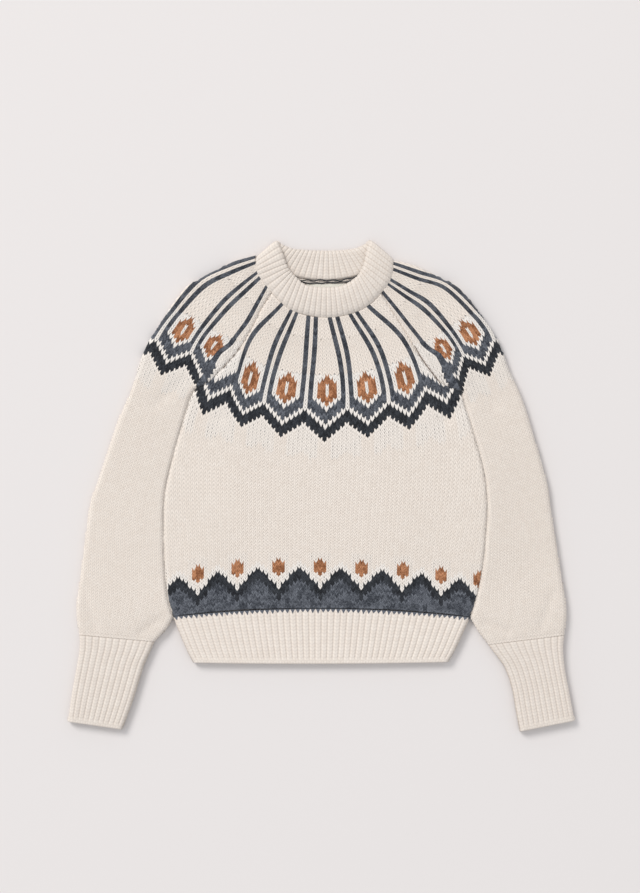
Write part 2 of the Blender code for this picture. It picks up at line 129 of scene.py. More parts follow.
HEM_BOW = {"top": 12, "bottom": -2}
CURVE_STEPS = 16


def between_marks(a, b, c, d, t):
    """A place from b to c on the smooth curve through four marks, at t from 0 to 1."""
    bend = (2 * a - 5 * b + 4 * c - d) * t * t + (3 * b - a - 3 * c + d) * t ** 3
    return 0.5 * (2 * b + (c - a) * t + bend)


def smooth_line(points, shares):
    """Points at shares of the length of a smooth curve through the given ones."""
    p = np.array(points, float)
    p = np.vstack([2 * p[0] - p[1], p, 2 * p[-1] - p[-2]])
    dense = [between_marks(*four, t) for four in zip(p, p[1:], p[2:], p[3:])
             for t in np.linspace(0, 1, CURVE_STEPS, endpoint=False)]
    dense = np.array(dense + [p[-2]])
    steps = np.linalg.norm(np.diff(dense, axis=0), axis=1)
    along = np.concatenate([[0.0], np.cumsum(steps)])
    wanted = np.asarray(shares, float) * along[-1]
    return np.column_stack([np.interp(wanted, along, dense[:, k]) for k in range(p.shape[1])])


for side in SIDE:
    seam = smooth_line(SIDE[side], np.linspace(0, 1, 50))
    print(side, "side seam:", round(np.linalg.norm(np.diff(seam, axis=0), axis=1).sum()), "mm")

# %% [markdown]
# Small tools bend cloth between marks. One draws a smooth curve through values at given keys and
# runs straight past its ends. Another gives the quarter-round drop of an edge, where a layer turns
# down towards its seam or fold.

# %% Curves through marks, and rounded edges


def span(keys, at):
    """Which gap between keys a place is in, the gap's width, and the place inside and past it."""
    k = np.clip(np.searchsorted(keys, at, side="right") - 1, 0, len(keys) - 2)
    step = keys[k + 1] - keys[k]
    t = (at - keys[k]) / step
    inside = np.clip(t, 0, 1)
    return k, step, inside, (t - inside) * step


def bridge(a, b, slope_a, slope_b, step, inside, past):
    """A smooth curve from a to b with the slopes given there, straight past its ends."""
    s2, s3 = inside ** 2, inside ** 3
    curve = a * (2 * s3 - 3 * s2 + 1) + b * (3 * s2 - 2 * s3)
    curve = curve + step * (slope_a * (s3 - 2 * s2 + inside) + slope_b * (s3 - s2))
    return curve + past * np.where(past < 0, slope_a, slope_b)


def through(keys, values, at):
    """A smooth curve through values at rising keys, read at other keys."""
    keys, values, at = (np.asarray(item, float) for item in (keys, values, at))
    slope = np.gradient(values, keys, axis=0)
    k, *spans = span(keys, at)
    if values.ndim > 1:
        spans = [item[..., None] for item in spans]
    return bridge(values[k], values[k + 1], slope[k], slope[k + 1], *spans)


def round_off(distance, radius):
    """1 at an edge and 0 beyond the radius, along a quarter circle."""
    t = 1 - np.clip(distance / radius, 0, 1)
    return 1 - np.sqrt(1 - t * t)


print("drop half way over a rounded edge:", round(float(round_off(SIDE_ROUND / 2, SIDE_ROUND)), 3))

# %% [markdown]
# Cloth that lies flat is never quite flat. A few soft troughs are placed where the photograph
# shows them: at the armpits, where the sleeves fold against the body, in the hollow beside the right
# raglan, and above the cuffs. A very low swell, less than a millimetre, keeps the big plain areas
# from looking ironed.

# %% Creases and swell
CREASES = [
    # x and y of one end, x and y of the other, reach, depth
    (-188, 120, -150, 96, 9.6, 1.4),
    (-205, 150, -240, 118, 9.6, 1.3),
    (210, 118, 176, 92, 9.6, 1.4),
    (146, 238, 160, 216, 10.0, 1.8),
    (222, 148, 250, 116, 9.6, 1.2),
    (-238, -196, -262, -214, 7.2, 1.2),
    (238, -200, 268, -212, 7.2, 1.4),
    (-330, -205, -346, -150, 7.2, 1.0),
    (318, -206, 334, -160, 7.2, 1.0),
]
SWELL = 0.5
# lengths of the swell along x and y, and of the bends in its ridges
SWELL_X, SWELL_Y = 31, 38
BEND_X, BEND_Y = 53, 47
BEND_SHARE = 0.8


def creases(x, y):
    """Depth of the soft troughs and of the low swell at places on the plan."""
    along_x = np.sin(x / SWELL_X + np.sin(y / BEND_Y))
    along_y = np.sin(y / SWELL_Y + BEND_SHARE * np.sin(x / BEND_X))
    depth = SWELL * (along_x * along_y)
    for x0, y0, x1, y1, reach, deep in CREASES:
        run = np.array([x1 - x0, y1 - y0], float)
        along = np.clip(((x - x0) * run[0] + (y - y0) * run[1]) / (run @ run), 0, 1)
        away = np.hypot(x - x0 - along * run[0], y - y0 - along * run[1])
        depth = depth + deep * np.exp(-((away / reach) ** 2))
    return depth


print("troughs:", len(CREASES), "deepest:", max(row[5] for row in CREASES), "mm")

# %% [markdown]
# Stocking stitch is a lattice. Each stitch is a V whose two legs lean against each other, and the Vs
# stand in columns, called wales. The mesh follows that: its lines run in zigzags along the grooves
# between the legs, so that each leg is a small raised pad and every change of colour has the saw
# tooth edge that knitting has. A smooth sheet with a bump picture would lose those teeth.
# Neighbouring rows may have different numbers of points, where wales are knitted together or run
# into a seam, so rows are joined by a zip that makes a face of four sides where the points agree and
# of three where they don't.

# %% The zip and the lattice
V_LEAN = 1.0
V_SPOTS = (0.0, 0.25, 0.5, 0.75, 1.0)
V_HEIGHTS = (0.5, 0.12, -0.5, 0.12, 0.5)
LEG_RELIEF = 1.1
LEG_ROUND = 0.7
LEG_NECK = 0.3
TINY = 1e-9
SAME = 1e-6
CLEAR_OF_EDGE = 0.12
RIM_SHARES = (0, 0.012, 0.03)
RIM = 0.06
NO_STITCH = (0, -1)


def lean_at(spot):
    """How far the grooves of a V lie above or below their row, by the place across the stitch."""
    return np.interp(spot, V_SPOTS, V_HEIGHTS)


def zip_rows(low, low_keys, high, high_keys):
    """Faces between two rows of points, each with rising keys, and each face's middle key."""
    faces, middles = [], []
    i = j = 0
    last_i, last_j = len(low) - 1, len(high) - 1
    while i < last_i or j < last_j:
        next_low = low_keys[i + 1] if i < last_i else math.inf
        next_high = high_keys[j + 1] if j < last_j else math.inf
        both = abs(next_low - next_high) < SAME or (i == last_i - 1 and j == last_j - 1)
        if both:
            faces.append((low[i], low[i + 1], high[j + 1], high[j]))
            middles.append((low_keys[i] + low_keys[i + 1]) / 2)
            i += 1
            j += 1
        elif next_low < next_high:
            faces.append((low[i], low[i + 1], high[j]))
            middles.append((low_keys[i] + low_keys[i + 1]) / 2)
            i += 1
        else:
            faces.append((low[i], high[j + 1], high[j]))
            middles.append((high_keys[j] + high_keys[j + 1]) / 2)
            j += 1
    return faces, middles


class Lattice:
    """Points of a knitted wall by wale and row, its faces, and each face's yarn."""

    def __init__(self):
        self.wales, self.levels, self.lean, self.spot, self.part = [], [], [], [], []
        self.counted = []
        self.faces, self.owners, self.widths = [], [], []

    def add_line(self, wales, level, lean, spot, part, counted=None):
        start = len(self.wales)
        self.wales.extend(wales)
        self.counted.extend(wales if counted is None else counted)
        self.levels.extend([level] * len(wales))
        self.lean.extend(lean)
        self.spot.extend(spot)
        self.part.extend([part] * len(wales))
        return list(range(start, start + len(wales)))

    def add_faces(self, faces, owners, width):
        self.faces.extend(faces)
        self.owners.extend(owners)
        self.widths.extend([width] * len(faces))


def knit_lines(lattice, rows, steps, spots, width_at, ends_at, lean, shift=None, plump=None):
    """The outer face: lines of points up the cloth, zipped together. Returns lines and their keys.

    shift moves counted wales to where they lie, and plump gives each point its extra rise."""
    lines = []
    for step in range(rows * steps + 1):
        level = step / steps
        row = min(int(level + TINY), rows - 1)
        width = width_at(row)
        first, last = ends_at(level)
        numbers = np.arange(math.floor(first / width) - 1, math.ceil(last / width) + 3)
        spot = np.tile(spots, len(numbers))
        stitch = np.repeat(numbers, len(spots))
        counted = (stitch + spot - 0.5) * width
        wales = shift(counted, level, width) if shift else counted
        edges = shift((numbers - 0.5) * width, level, width) if shift else (numbers - 0.5) * width
        clear = CLEAR_OF_EDGE * width
        inside = (wales > first + clear) & (wales < last - clear)
        fade = min(1.0, level, rows - level)
        leaning = lean * fade * lean_at(spot)
        if plump:
            leaning = leaning + fade * plump(stitch, spot, level, row, width)
        spot = np.concatenate([[-1], spot[inside], [-1]])
        leaning = np.concatenate([[0], leaning[inside], [0]])
        counted = np.concatenate([[first], counted[inside], [last]])
        wales = np.concatenate([[first], wales[inside], [last]])
        points = lattice.add_line(wales, level, leaning, spot, 0, counted)
        lines.append((points, wales, row, width, numbers, edges))
    for (low, low_keys, row, width, numbers, edges), (high, high_keys, *_) in zip(lines, lines[1:]):
        faces, middles = zip_rows(low, low_keys, high, high_keys)
        at = np.searchsorted(edges, middles) - 1
        lattice.add_faces(faces, [(int(n), row) for n in numbers[at]], width)
    return lines


def inner_lines(lattice, rows, row_step, column_step, ends_at):
    """The inner face of the wall, in coarse plain squares, wound the other way round."""
    count = max(2, round(rows / row_step))
    first, last = ends_at(rows / 2)
    columns = max(4, round((last - first) / column_step))
    near = np.array(RIM_SHARES)
    shares = np.concatenate([near, np.linspace(RIM, 1 - RIM, columns), 1 - near[::-1]])
    lines = []
    for level in np.linspace(0, rows, count + 1):
        first, last = ends_at(level)
        wales = first + (last - first) * shares
        nothing = np.zeros(len(wales))
        lines.append((lattice.add_line(wales, level, nothing, nothing - 1, 1), wales, level))
    for (low, _, _), (high, _, _) in zip(lines, lines[1:]):
        faces = [(high[c], high[c + 1], low[c + 1], low[c]) for c in range(len(low) - 1)]
        lattice.add_faces(faces, [NO_STITCH] * len(faces), 1.0)
    return lines


def close_rims(lattice, outer, inner, steps):
    """The four narrow sides of the wall, between the outer and the inner face."""
    levels = [n / steps for n in range(len(outer))]
    rims = []
    for k, turn in ((0, False), (-1, True)):
        rims.append((zip_rows(inner[k][0], inner[k][1], outer[k][0], outer[k][1])[0], turn))
    for k, turn in ((0, True), (-1, False)):
        edge = [line[0][k] for line in outer]
        inside = [line[0][k] for line in inner]
        rims.append((zip_rows(inside, [line[2] for line in inner], edge, levels)[0], turn))
    for faces, turn in rims:
        if turn:
            faces = [face[::-1] for face in faces]
        lattice.add_faces(faces, [NO_STITCH] * len(faces), 1.0)


print("a leg of a stitch stands", LEG_RELIEF, "mm proud of its groove")

# %% [markdown]
# The lattice only says which stitch a point belongs to. A surface function says where that stitch
# lies. This helper asks it for every point and for two neighbours, which gives the cloth's normal.
# The outer points then move out by the relief of their leg and the inner ones in by the wall. The
# mesh keeps a UV map that counts stitches and rows, and a mask for the coloured yarns. The mask's
# alpha says how much a light stitch shows of the yarns carried behind it. The materials read both.

# %% From lattice to mesh
YARNS = ("cream", "navy", "slate", "rust", "charcoal")
# navy, slate and rust have a channel each, and charcoal is slate spun over navy
YARN_MASKS = ((0, 0, 0), (1, 0, 0), (0, 1, 0), (0, 0, 1), (1, 0.68, 0))
NEAR = 0.05


def unit(v):
    """The same directions, one long."""
    return v / np.maximum(np.linalg.norm(v, axis=-1, keepdims=True), TINY)


def deselect_all():
    """Clears the selection, so that an operator works on one piece only."""
    for item in bpy.context.selected_objects:
        item.select_set(False)


def add_object(name, data):
    """A new object of the scene, the only one selected."""
    item = bpy.data.objects.new(name, data)
    bpy.context.scene.collection.objects.link(item)
    deselect_all()
    bpy.context.view_layer.objects.active = item
    item.select_set(True)
    return item


def build_cloth(name, lattice, surface, relief, yarn=None, turn=1):
    """Makes the mesh of a knitted wall. turn is -1 where wales and rows run clockwise outside."""
    wales = np.array(lattice.wales)
    counted = np.array(lattice.counted)
    levels = np.array(lattice.levels)
    rows_at = levels + np.array(lattice.lean)
    part = np.array(lattice.part)
    spot = np.array(lattice.spot)
    base = surface(wales, rows_at)
    along = surface(wales + NEAR, rows_at) - surface(wales - NEAR, rows_at)
    up = surface(wales, rows_at + NEAR) - surface(wales, rows_at - NEAR)
    normal = unit(np.cross(along, up)) * turn
    height = np.where(spot < 0, 0.0, relief(spot, levels, wales, rows_at))
    points = base + normal * np.where(part == 0, height, -WALL)[:, None]
    points = (points - PLAN_CENTRE) * MM
    faces = lattice.faces
    if turn < 0:
        faces = [face[::-1] for face in faces]
    mesh = bpy.data.meshes.new(name)
    mesh.from_pydata(points.tolist(), [], faces)
    corner = np.empty(len(mesh.loops), int)
    mesh.loops.foreach_get("vertex_index", corner)
    sides = np.array([len(face) for face in faces])
    face_of = np.repeat(np.arange(len(faces)), sides)
    widths = np.array(lattice.widths)[face_of]
    uv = mesh.uv_layers.new(name="Stitches")
    stitches = np.column_stack([counted[corner] / widths + 0.5, levels[corner]])
    uv.data.foreach_set("uv", stitches.ravel())
    owners = np.array(lattice.owners)
    kind = np.zeros((len(faces), 2))
    if yarn is not None:
        known = {}
        for face in np.flatnonzero(owners[:, 1] >= 0):
            stitch = (*owners[face], lattice.widths[face])
            if stitch not in known:
                known[stitch] = yarn(*stitch)
            kind[face] = known[stitch]
    mask = np.zeros((len(corner), 4))
    mask[:, :3] = np.array(YARN_MASKS)[kind[face_of, 0].astype(int)]
    mask[:, 3] = kind[face_of, 1]
    colour = mesh.color_attributes.new("Yarn", "FLOAT_COLOR", "CORNER")
    colour.data.foreach_set("color", mask.ravel())
    item = add_object(name, mesh)
    bpy.ops.object.shade_smooth()
    count = sum(len(face) - 2 for face in faces)
    print(name, "points", len(points), "triangles", count)
    return item


def leg_relief(spot, levels, wales, rows_at):
    """Height of a point on a leg: low in the grooves between legs and where they meet."""
    across = np.sin(np.pi * (levels % 1)) ** LEG_ROUND
    along = LEG_NECK + (1 - LEG_NECK) * np.abs(np.sin(2 * np.pi * spot))
    return LEG_RELIEF * across * along


print("yarns:", ", ".join(YARNS))

# %% [markdown]
# The colour pattern is charted on squared paper, as a knitter does, and this is its small repeat of
# ten stitches. The yoke's first row with navy is row 0. Up from it come a navy zigzag, a cream one and
# a slate one, then a rust medallion with a cream slot, and a pair of charcoal lines that run to the
# neck with one cream wale between. Wales are knitted together twice on the way: ten of a repeat
# become eight and then six. The hem's band is the same idea, a slate ground under navy peaks with a
# rust diamond in each valley. Yarns that aren't in use are carried behind the light stitches and
# show through their gaps, so each chart has a second part that says how much.

# %% The chart
REPEAT = 10
LINES_ONLY = 19
YOKE_BANDS = [(LINES_ONLY, REPEAT), (29, 8), (99, 6)]
NAVY_ROWS = 4
SLATE_TOP = 9
LINE_WALE = 4
LINE_FROM = 14
MEDALLION = {10: (0,), 11: (0, 1), 12: (0, 1, 2), 13: (1, 2), 14: (1, 2), 15: (1, 2),
             16: (0, 1, 2), 17: (0, 1), 18: (0,)}
HEM_PEAKS = (6, 8, 9, 11, 12, 13)
DIAMOND = {11: (0,), 12: (0, 1), 13: (0, 1), 14: (0, 1), 15: (0, 1), 16: (0,)}
HEM_TOP = max(DIAMOND) + 2
HEM_ABOVE = 2
DIAMOND_WALES = 3
BELOW_YOKE = 6
UNDER_ROWS = 8
# how much of the strands shows among the lines, under a zigzag, further off, and by a diamond
SHOW_LINES, SHOW_UNDER, SHOW_FAR, SHOW_DIAMOND = 0.45, 0.9, 0.2, 0.8


def stitches_in_repeat(yoke_row):
    """How many wales a repeat of the yoke has in that row."""
    return next(count for last_row, count in YOKE_BANDS if yoke_row < last_row)


def yoke_chart(steps, row, count, plain):
    """The yarn of a yoke stitch, so many steps from the middle of its repeat of so many wales.

    A plain repeat, cut by a raglan seam, has the zigzags but no medallion and no line."""
    if row < 0:
        return "cream"
    if count < REPEAT:
        return "charcoal" if steps == count // 2 - 1 and not plain else "cream"
    if steps <= row < steps + NAVY_ROWS:
        return "navy"
    if row == steps + NAVY_ROWS or row < steps:
        return "cream"
    if plain:
        return "slate" if row < steps + SLATE_TOP else "cream"
    if steps > LINE_WALE:
        return "cream"
    if steps == LINE_WALE:
        return "charcoal" if row >= LINE_FROM else "slate"
    if row < steps + SLATE_TOP:
        return "slate"
    return "rust" if steps in MEDALLION.get(row, ()) else "cream"


def yoke_shows(steps, row):
    """How much of the colours carried behind it a light stitch of the yoke shows, from 0 to 1."""
    if row >= LINES_ONLY:
        return SHOW_LINES
    if row >= steps:
        return 1.0
    return SHOW_UNDER if steps >= 2 and row >= steps - UNDER_ROWS else SHOW_FAR


def hem_chart(steps, row):
    """The yarn of a stitch in the hem's band, so many steps from the middle of a valley."""
    top = HEM_PEAKS[steps]
    if row <= top:
        return "navy" if row > top - NAVY_ROWS else "slate"
    return "rust" if steps in DIAMOND.get(row, ()) else "cream"


def hem_shows(steps, row):
    """The same for the hem: all over a peak, less beside a diamond, and nothing further off."""
    above = row - HEM_PEAKS[steps]
    if 0 < above <= HEM_ABOVE:
        return 1.0
    return SHOW_DIAMOND if above > 0 and steps < DIAMOND_WALES else 0.0


def steps_from_middle(number, count):
    """How many wales a stitch is from the middle of its repeat."""
    place = number % count
    return min(place, count - place)


SIGNS = {"cream": ".", "navy": "N", "slate": "s", "rust": "R", "charcoal": "c"}
for row in reversed(range(LINES_ONLY)):
    line = [yoke_chart(steps_from_middle(n, REPEAT), row, REPEAT, False) for n in range(-10, 11)]
    print(f"{row:3d}", "".join(SIGNS[name] for name in line))

# %% [markdown]
# The front is the piece that shows most. Its wales run up from the hem, nearly straight, and then fan
# together towards the neck. The table follows every tenth wale: where it crosses the hem's seam, the
# row of diamonds, the yoke's first row, the row of medallions and the neck. Everything between is a
# smooth curve through those places. A wale that runs into a raglan or side seam ends there, as it
# does when a knitter casts off for an armhole.

# %% The front's wales
FRONT_MARKS = (0, 14.5, 55, 69.5, 78, 90)
FRONT_ROWS = 90
YOKE_START = 55
ARMPIT_ROW = 60
FRONT_WALES = [
    # wale, then photo x and y at the hem, diamonds, yoke, medallions, half way up and neck
    (-30, (197.5, 613.5), (198, 573.0), (202.5, 416.3), (224.3, 358.7), (232.9, 328.5), (273.5, 295.5)),
    (-20, (237, 609.8), (237.5, 567.5), (241.2, 427.4), (249.9, 379.0), (260.5, 346.3), (286.9, 306.9)),
    (-10, (279, 608.6), (278.5, 566.0), (280.6, 437.5), (286.5, 388.5), (292.5, 357.6), (302.3, 314.2)),
    (0, (320.5, 608.4), (320, 566.0), (324.3, 442.3), (327.2, 390.9), (326.8, 361.0), (322.8, 317.3)),
    (10, (361, 608.7), (361.5, 567.5), (367.8, 438.0), (366.9, 388.0), (361.0, 357.5), (343.9, 315.6)),
    (20, (401, 610.2), (403, 569.5), (409.3, 430.0), (405.2, 378.5), (392.9, 346.5), (362.3, 309.0)),
    (30, (441, 613.4), (441, 574.5), (450.3, 420.3), (434.5, 359.5), (420.3, 328.9), (380.0, 297.0)),
]
SIDE_MARKS = ((0, 0.0), (14.5, 0.172), (60, 1.0))
FRONT_REACH = 46
EDGE_TRIES = 1400
PULL_REACH = 8


class Fan:
    """Wales that follow marked places, cut off by an edge line on the left and on the right."""

    def __init__(self, numbers, places, marks, rows, left_edge, right_edge, reach):
        self.numbers = np.array(numbers, float)
        self.places, self.marks, self.rows = places, marks, rows
        self.levels = np.linspace(-1, rows + 1, (rows + 2) * 2 + 1)
        self.edges = {"left": left_edge(self.levels), "right": right_edge(self.levels)}
        self.ends, self.pull = {}, {}
        for side, sign in (("left", -1), ("right", 1)):
            tries = np.linspace(0, sign * reach, EDGE_TRIES)
            ends, pulls = [], []
            for level, edge in zip(self.levels, self.edges[side]):
                path = self.free(tries, np.full(len(tries), level))
                nearest = np.argmin(((path - edge) ** 2).sum(axis=1))
                ends.append(tries[nearest])
                pulls.append(edge - path[nearest])
            self.ends[side] = np.array(ends)
            self.pull[side] = np.array(pulls)

    def free(self, wales, levels):
        """Where wales run before their edges are pulled onto the seams."""
        paths = np.array([through(self.marks, place, levels) for place in self.places])
        slopes = np.gradient(paths, self.numbers, axis=0)
        k, *spans = span(self.numbers, wales)
        spans = [item[:, None] for item in spans]
        at = np.arange(len(wales))
        return bridge(paths[k, at], paths[k + 1, at], slopes[k, at], slopes[k + 1, at], *spans)

    def at_level(self, table, levels):
        """A table of numbers or of places by row, read at other rows."""
        if table.ndim == 1:
            return np.interp(levels, self.levels, table)
        return np.column_stack([np.interp(levels, self.levels, table[:, k]) for k in (0, 1)])

    def ends_at(self, level):
        """The first and the last wale of a row."""
        return tuple(float(np.interp(level, self.levels, self.ends[s])) for s in ("left", "right"))

    def place(self, wales, levels):
        """Plan places of stitches, with both edges exactly on their seams."""
        spots = self.free(wales, levels)
        for side in ("left", "right"):
            away = np.abs(wales - self.at_level(self.ends[side], levels))
            hold = np.clip(1 - away / PULL_REACH, 0, 1) ** 2
            spots = spots + self.at_level(self.pull[side], levels) * hold[:, None]
        return spots


def marked_places(table):
    """The numbers of a table's wales, and the plan places that each goes through."""
    return [row[0] for row in table], [np.array([plan(pixel) for pixel in row[1:]]) for row in table]


def edge_line(side, raglan):
    """Plan places of a panel's edge by row: its side seam, then its raglan seam."""
    inward = np.array([SEAM_GAP / 2 if side == "left" else -SEAM_GAP / 2, 0])

    def line(levels):
        low = through(*zip(*SIDE_MARKS), np.minimum(levels, ARMPIT_ROW))
        high = np.clip((levels - ARMPIT_ROW) / (FRONT_ROWS - ARMPIT_ROW), 0, 1)
        below = smooth_line(SIDE[side], np.clip(low, 0, 1))
        above = smooth_line(raglan[side], high)
        return np.where((levels < ARMPIT_ROW)[:, None], below, above) + inward

    return line


def panel_fan(table, raglan):
    """The wales of the front or of the back, between its two edges."""
    return Fan(*marked_places(table), FRONT_MARKS, FRONT_ROWS,
               edge_line("left", raglan), edge_line("right", raglan), FRONT_REACH)


front_fan = panel_fan(FRONT_WALES, RAGLAN_FRONT)
for row in (0, 30, 55, 62, 75, 90):
    print("row", row, "wales", np.round(front_fan.ends_at(row), 1))

# %% [markdown]
# The front's surface is flat on top and turns down in a quarter round to each side seam. Above the
# armpits it ends in the raglan seams instead, where the two pieces meet in a narrow groove. The rows
# next to the hem's rib dip too, because the rib pulls them in.

# %% The front's surface
GROOVE_DEPTH = 2.2
GROOVE_REACH = 2.4
RIB_DIP = 0.35
RIB_DIP_ROWS = 1.3


def bump_at(away, reach, depth):
    """A soft bell: its depth at its middle and almost nothing beyond twice its reach."""
    return np.exp(-((away / reach) ** 2)) * depth


def panel_surface(fan, front):
    """The outer surface of the front or of the back, from stitch coordinates to millimetres."""

    def surface(wales, levels):
        spots = fan.place(wales, levels)
        side_part = np.clip(ARMPIT_ROW + 0.5 - levels, 0, 1)
        drop = np.zeros(len(wales))
        groove = np.zeros(len(wales))
        for side in ("left", "right"):
            away = np.linalg.norm(spots - fan.at_level(fan.edges[side], levels), axis=1)
            drop += round_off(away, SIDE_ROUND) * side_part * (MID - SEAM_GAP / 2)
            groove += bump_at(away, GROOVE_REACH, 1 - side_part) * GROOVE_DEPTH
        groove += bump_at(levels, RIB_DIP_ROWS, RIB_DIP)
        sunk = groove + (creases(spots[:, 0], spots[:, 1]) if front else 0)
        sunk = sunk * (1 - drop / MID)
        height = FLAT_HEIGHT - drop - sunk if front else drop + np.maximum(sunk, 0)
        return np.column_stack([spots, height])

    return surface


print("raglan groove:", GROOVE_DEPTH, "mm deep, row by the rib:", RIB_DIP, "mm")

# %% [markdown]
# The chart goes on the wales by counting repeats from the middle of the front. A raglan seam cuts the
# outermost repeats, which stay plain. On a sleeve one thick slate line runs beside the front's
# raglan, in place of the chart's own, so it has a small table of where it goes and how wide it is.

# %% Which yarn each stitch takes
SHOW_BY_LINE = 0.95
SLEEVE_LINE = {
    # yoke rows, wales and half widths in wales
    "left": ((1, 3.5, 7, 9.7, 12.2, 14.5, 17, 19), (0.0, 0.7, 1.4, 1.9, 2.4, 3.3, 4.0, 4.0),
             (0.6, 0.7, 0.8, 0.8, 0.75, 0.72, 0.7, 0.7)),
    "right": ((-1, 1.2, 5.3, 9, 12.7, 15.5, 18, 19), (0.5, 1.3, 1.9, 2.0, 2.3, 3.4, 4.0, 4.0),
              (0.9, 1.2, 1.2, 1.0, 0.8, 0.7, 0.7, 0.7)),
}


def stitch_width(yoke_start):
    """A function that gives a stitch's width in wales of the hem, by row."""
    return lambda row: REPEAT / stitches_in_repeat(row - yoke_start)


def sleeve_line(side, level):
    """Where the thick line beside the raglan runs, and how wide it is to each side of its middle."""
    rows, wales, halves = SLEEVE_LINE[side]
    return float(np.interp(level, rows, wales)), float(np.interp(level, rows, halves))


def beside_raglan(side, row):
    """Whether the thick line runs across a row of the yoke instead of the chart's own line."""
    return side is not None and SLEEVE_LINE[side][0][0] <= row < SLEEVE_LINE[side][0][-1]


def panel_yarn(yoke_start, hem_band, charted, cut_side=None):
    """A function that gives a stitch's yarn and how much of the strands behind it shows.

    Wales outside the charted range are plain."""

    def yarn(number, row, width):
        count = round(REPEAT / width)
        steps = steps_from_middle(number, count)
        if hem_band and row <= HEM_TOP:
            name = hem_chart(steps, row)
            return YARNS.index(name), hem_shows(steps, row) * (name == "cream")
        above = row - yoke_start
        if beside_raglan(cut_side, above):
            line = round(sleeve_line(cut_side, above)[0])
            if number > line:
                return YARNS.index("cream"), SHOW_BY_LINE
            if number == line:
                return YARNS.index("slate"), 0.0
        plain = not charted[0] <= number * width <= charted[1]
        name = yoke_chart(steps, above, count, plain)
        return YARNS.index(name), yoke_shows(steps, above) * (name == "cream" and above > -BELOW_YOKE)

    return yarn


print("wales in a repeat at the neck:", stitches_in_repeat(YOKE_BANDS[1][0]))

# %% [markdown]
# Two things make charted colour look knitted rather than printed. A column of one dark stitch
# keeps its full width up the whole yoke, although the fan narrows round it, because the plain
# stitches beside it are the ones that get knitted together. And a light stitch under a dark one
# stands a little taller than its row.

# %% Steady lines and plump stitches
LINE_ROWS = (9, 13, 17, 23, 35)
LINE_PLACE = (4.0, 4.0, 4.0, 3.79, 3.21)
LINE_WIDTH = (1.0, 1.14, 1.2, 1.42, 2.0)
SLOT_ROWS = (12, 13, 16, 17)
SLOT_HALF = (0.5, 0.37, 0.37, 0.5)
SAW_DEPTH = 0.8
SAW_ROWS = 1.5
SAW_TOP = 9
LINE_HOLD = 3.5
PLUMP_UP = (0.05, 0.3, 0.5, 0.3, 0.05)
PLUMP_DOWN = (0.05, 0.15, 0.1, 0.15, 0.05)


def steady_lines(yoke_start, cut_side=None):
    """A function that moves counted wales aside, so that dark lines keep their places and widths.

    Marks across a row come at even counts and go to where the lines want them."""

    def shift(counted, level, width):
        row = level - yoke_start
        if beside_raglan(cut_side, row):
            line, half = sleeve_line(cut_side, row)
            number = round(sleeve_line(cut_side, math.floor(row + SAME))[0])
            come = [number - LINE_HOLD, number - 0.5, number + 0.5, number + LINE_HOLD]
            tooth = SAW_DEPTH * (1 - row / SAW_ROWS % 1) if 1 < row < SAW_TOP else 0.0
            go = [number - LINE_HOLD, line - half, line + half + tooth, number + LINE_HOLD]
            moved = np.interp(counted, come, go)
            counted = np.where((counted > come[0]) & (counted < come[-1]), moved, counted)
        if row < LINE_ROWS[0]:
            return counted
        middle = REPEAT / 2 - width
        place, wide = np.interp(row, LINE_ROWS, LINE_PLACE), np.interp(row, LINE_ROWS, LINE_WIDTH)
        come = [0, middle - width / 2, middle + width / 2, REPEAT / 2]
        go = [0, place - wide / 2, place + wide / 2, REPEAT / 2]
        if width == 1:
            come.insert(1, 0.5)
            go.insert(1, np.interp(row, SLOT_ROWS, SLOT_HALF))
        nearest = np.round(counted / REPEAT) * REPEAT
        away = counted - nearest
        return nearest + np.sign(away) * np.interp(np.abs(away), come, go)

    return shift


def plumper(yarn, pattern_rows):
    """A function that lifts a point between rows where a light stitch and a dark one meet."""

    def rise(stitch, spot, row, width):
        if not any(low - 1 <= row <= high + 1 for low, high in pattern_rows):
            return np.zeros(len(spot))
        numbers = np.arange(stitch.min() - 1, stitch.max() + 1)
        light = np.array([[yarn(n, r, width)[0] == 0 for n in numbers] for r in (row - 1, row)])
        step = light[0].astype(float) - light[1]
        here = step[stitch - numbers[0]]
        here = np.where(spot == 0, (here + step[stitch - 1 - numbers[0]]) / 2, here)
        up, down = np.interp(spot, V_SPOTS, PLUMP_UP), np.interp(spot, V_SPOTS, PLUMP_DOWN)
        return np.where(here > 0, here * up, here * down)

    def plump(stitch, spot, level, row, width):
        part = level - math.floor(level + TINY)
        low = rise(stitch, spot, int(level + TINY), width)
        return low if part < SAME else (1 - part) * low + part * rise(stitch, spot, row + 1, width)

    return plump


print("dark line's width in wales, by yoke row:", dict(zip(LINE_ROWS, LINE_WIDTH)))

# %% [markdown]
# Now the front can be knitted: the outer face stitch by stitch, a coarse plain inner face and the
# rims between them. The back will go through the same function, with its relief turned inwards.

# %% Knit the front
LEG_SPOTS = V_SPOTS[:-1]
PANEL_PATTERN = ((0, HEM_TOP), (YOKE_START, YOKE_START + LINES_ONLY))
FRONT_CHARTED = (-24.5, 24.5)
INNER_ROWS, INNER_WALES = 2.5, 2.0


def knit_plain(name, fan, ends_at, yoke_start, yarn, pattern_rows, steps, surface, relief, turn,
               side=None):
    """A wall of stocking stitch with its colour pattern."""
    lattice = Lattice()
    outer = knit_lines(lattice, fan.rows, steps, LEG_SPOTS, stitch_width(yoke_start), ends_at, V_LEAN,
                       steady_lines(yoke_start, side), plumper(yarn, pattern_rows))
    close_rims(lattice, outer, inner_lines(lattice, fan.rows, INNER_ROWS, INNER_WALES, ends_at), steps)
    return build_cloth(name, lattice, surface, relief, yarn, turn)


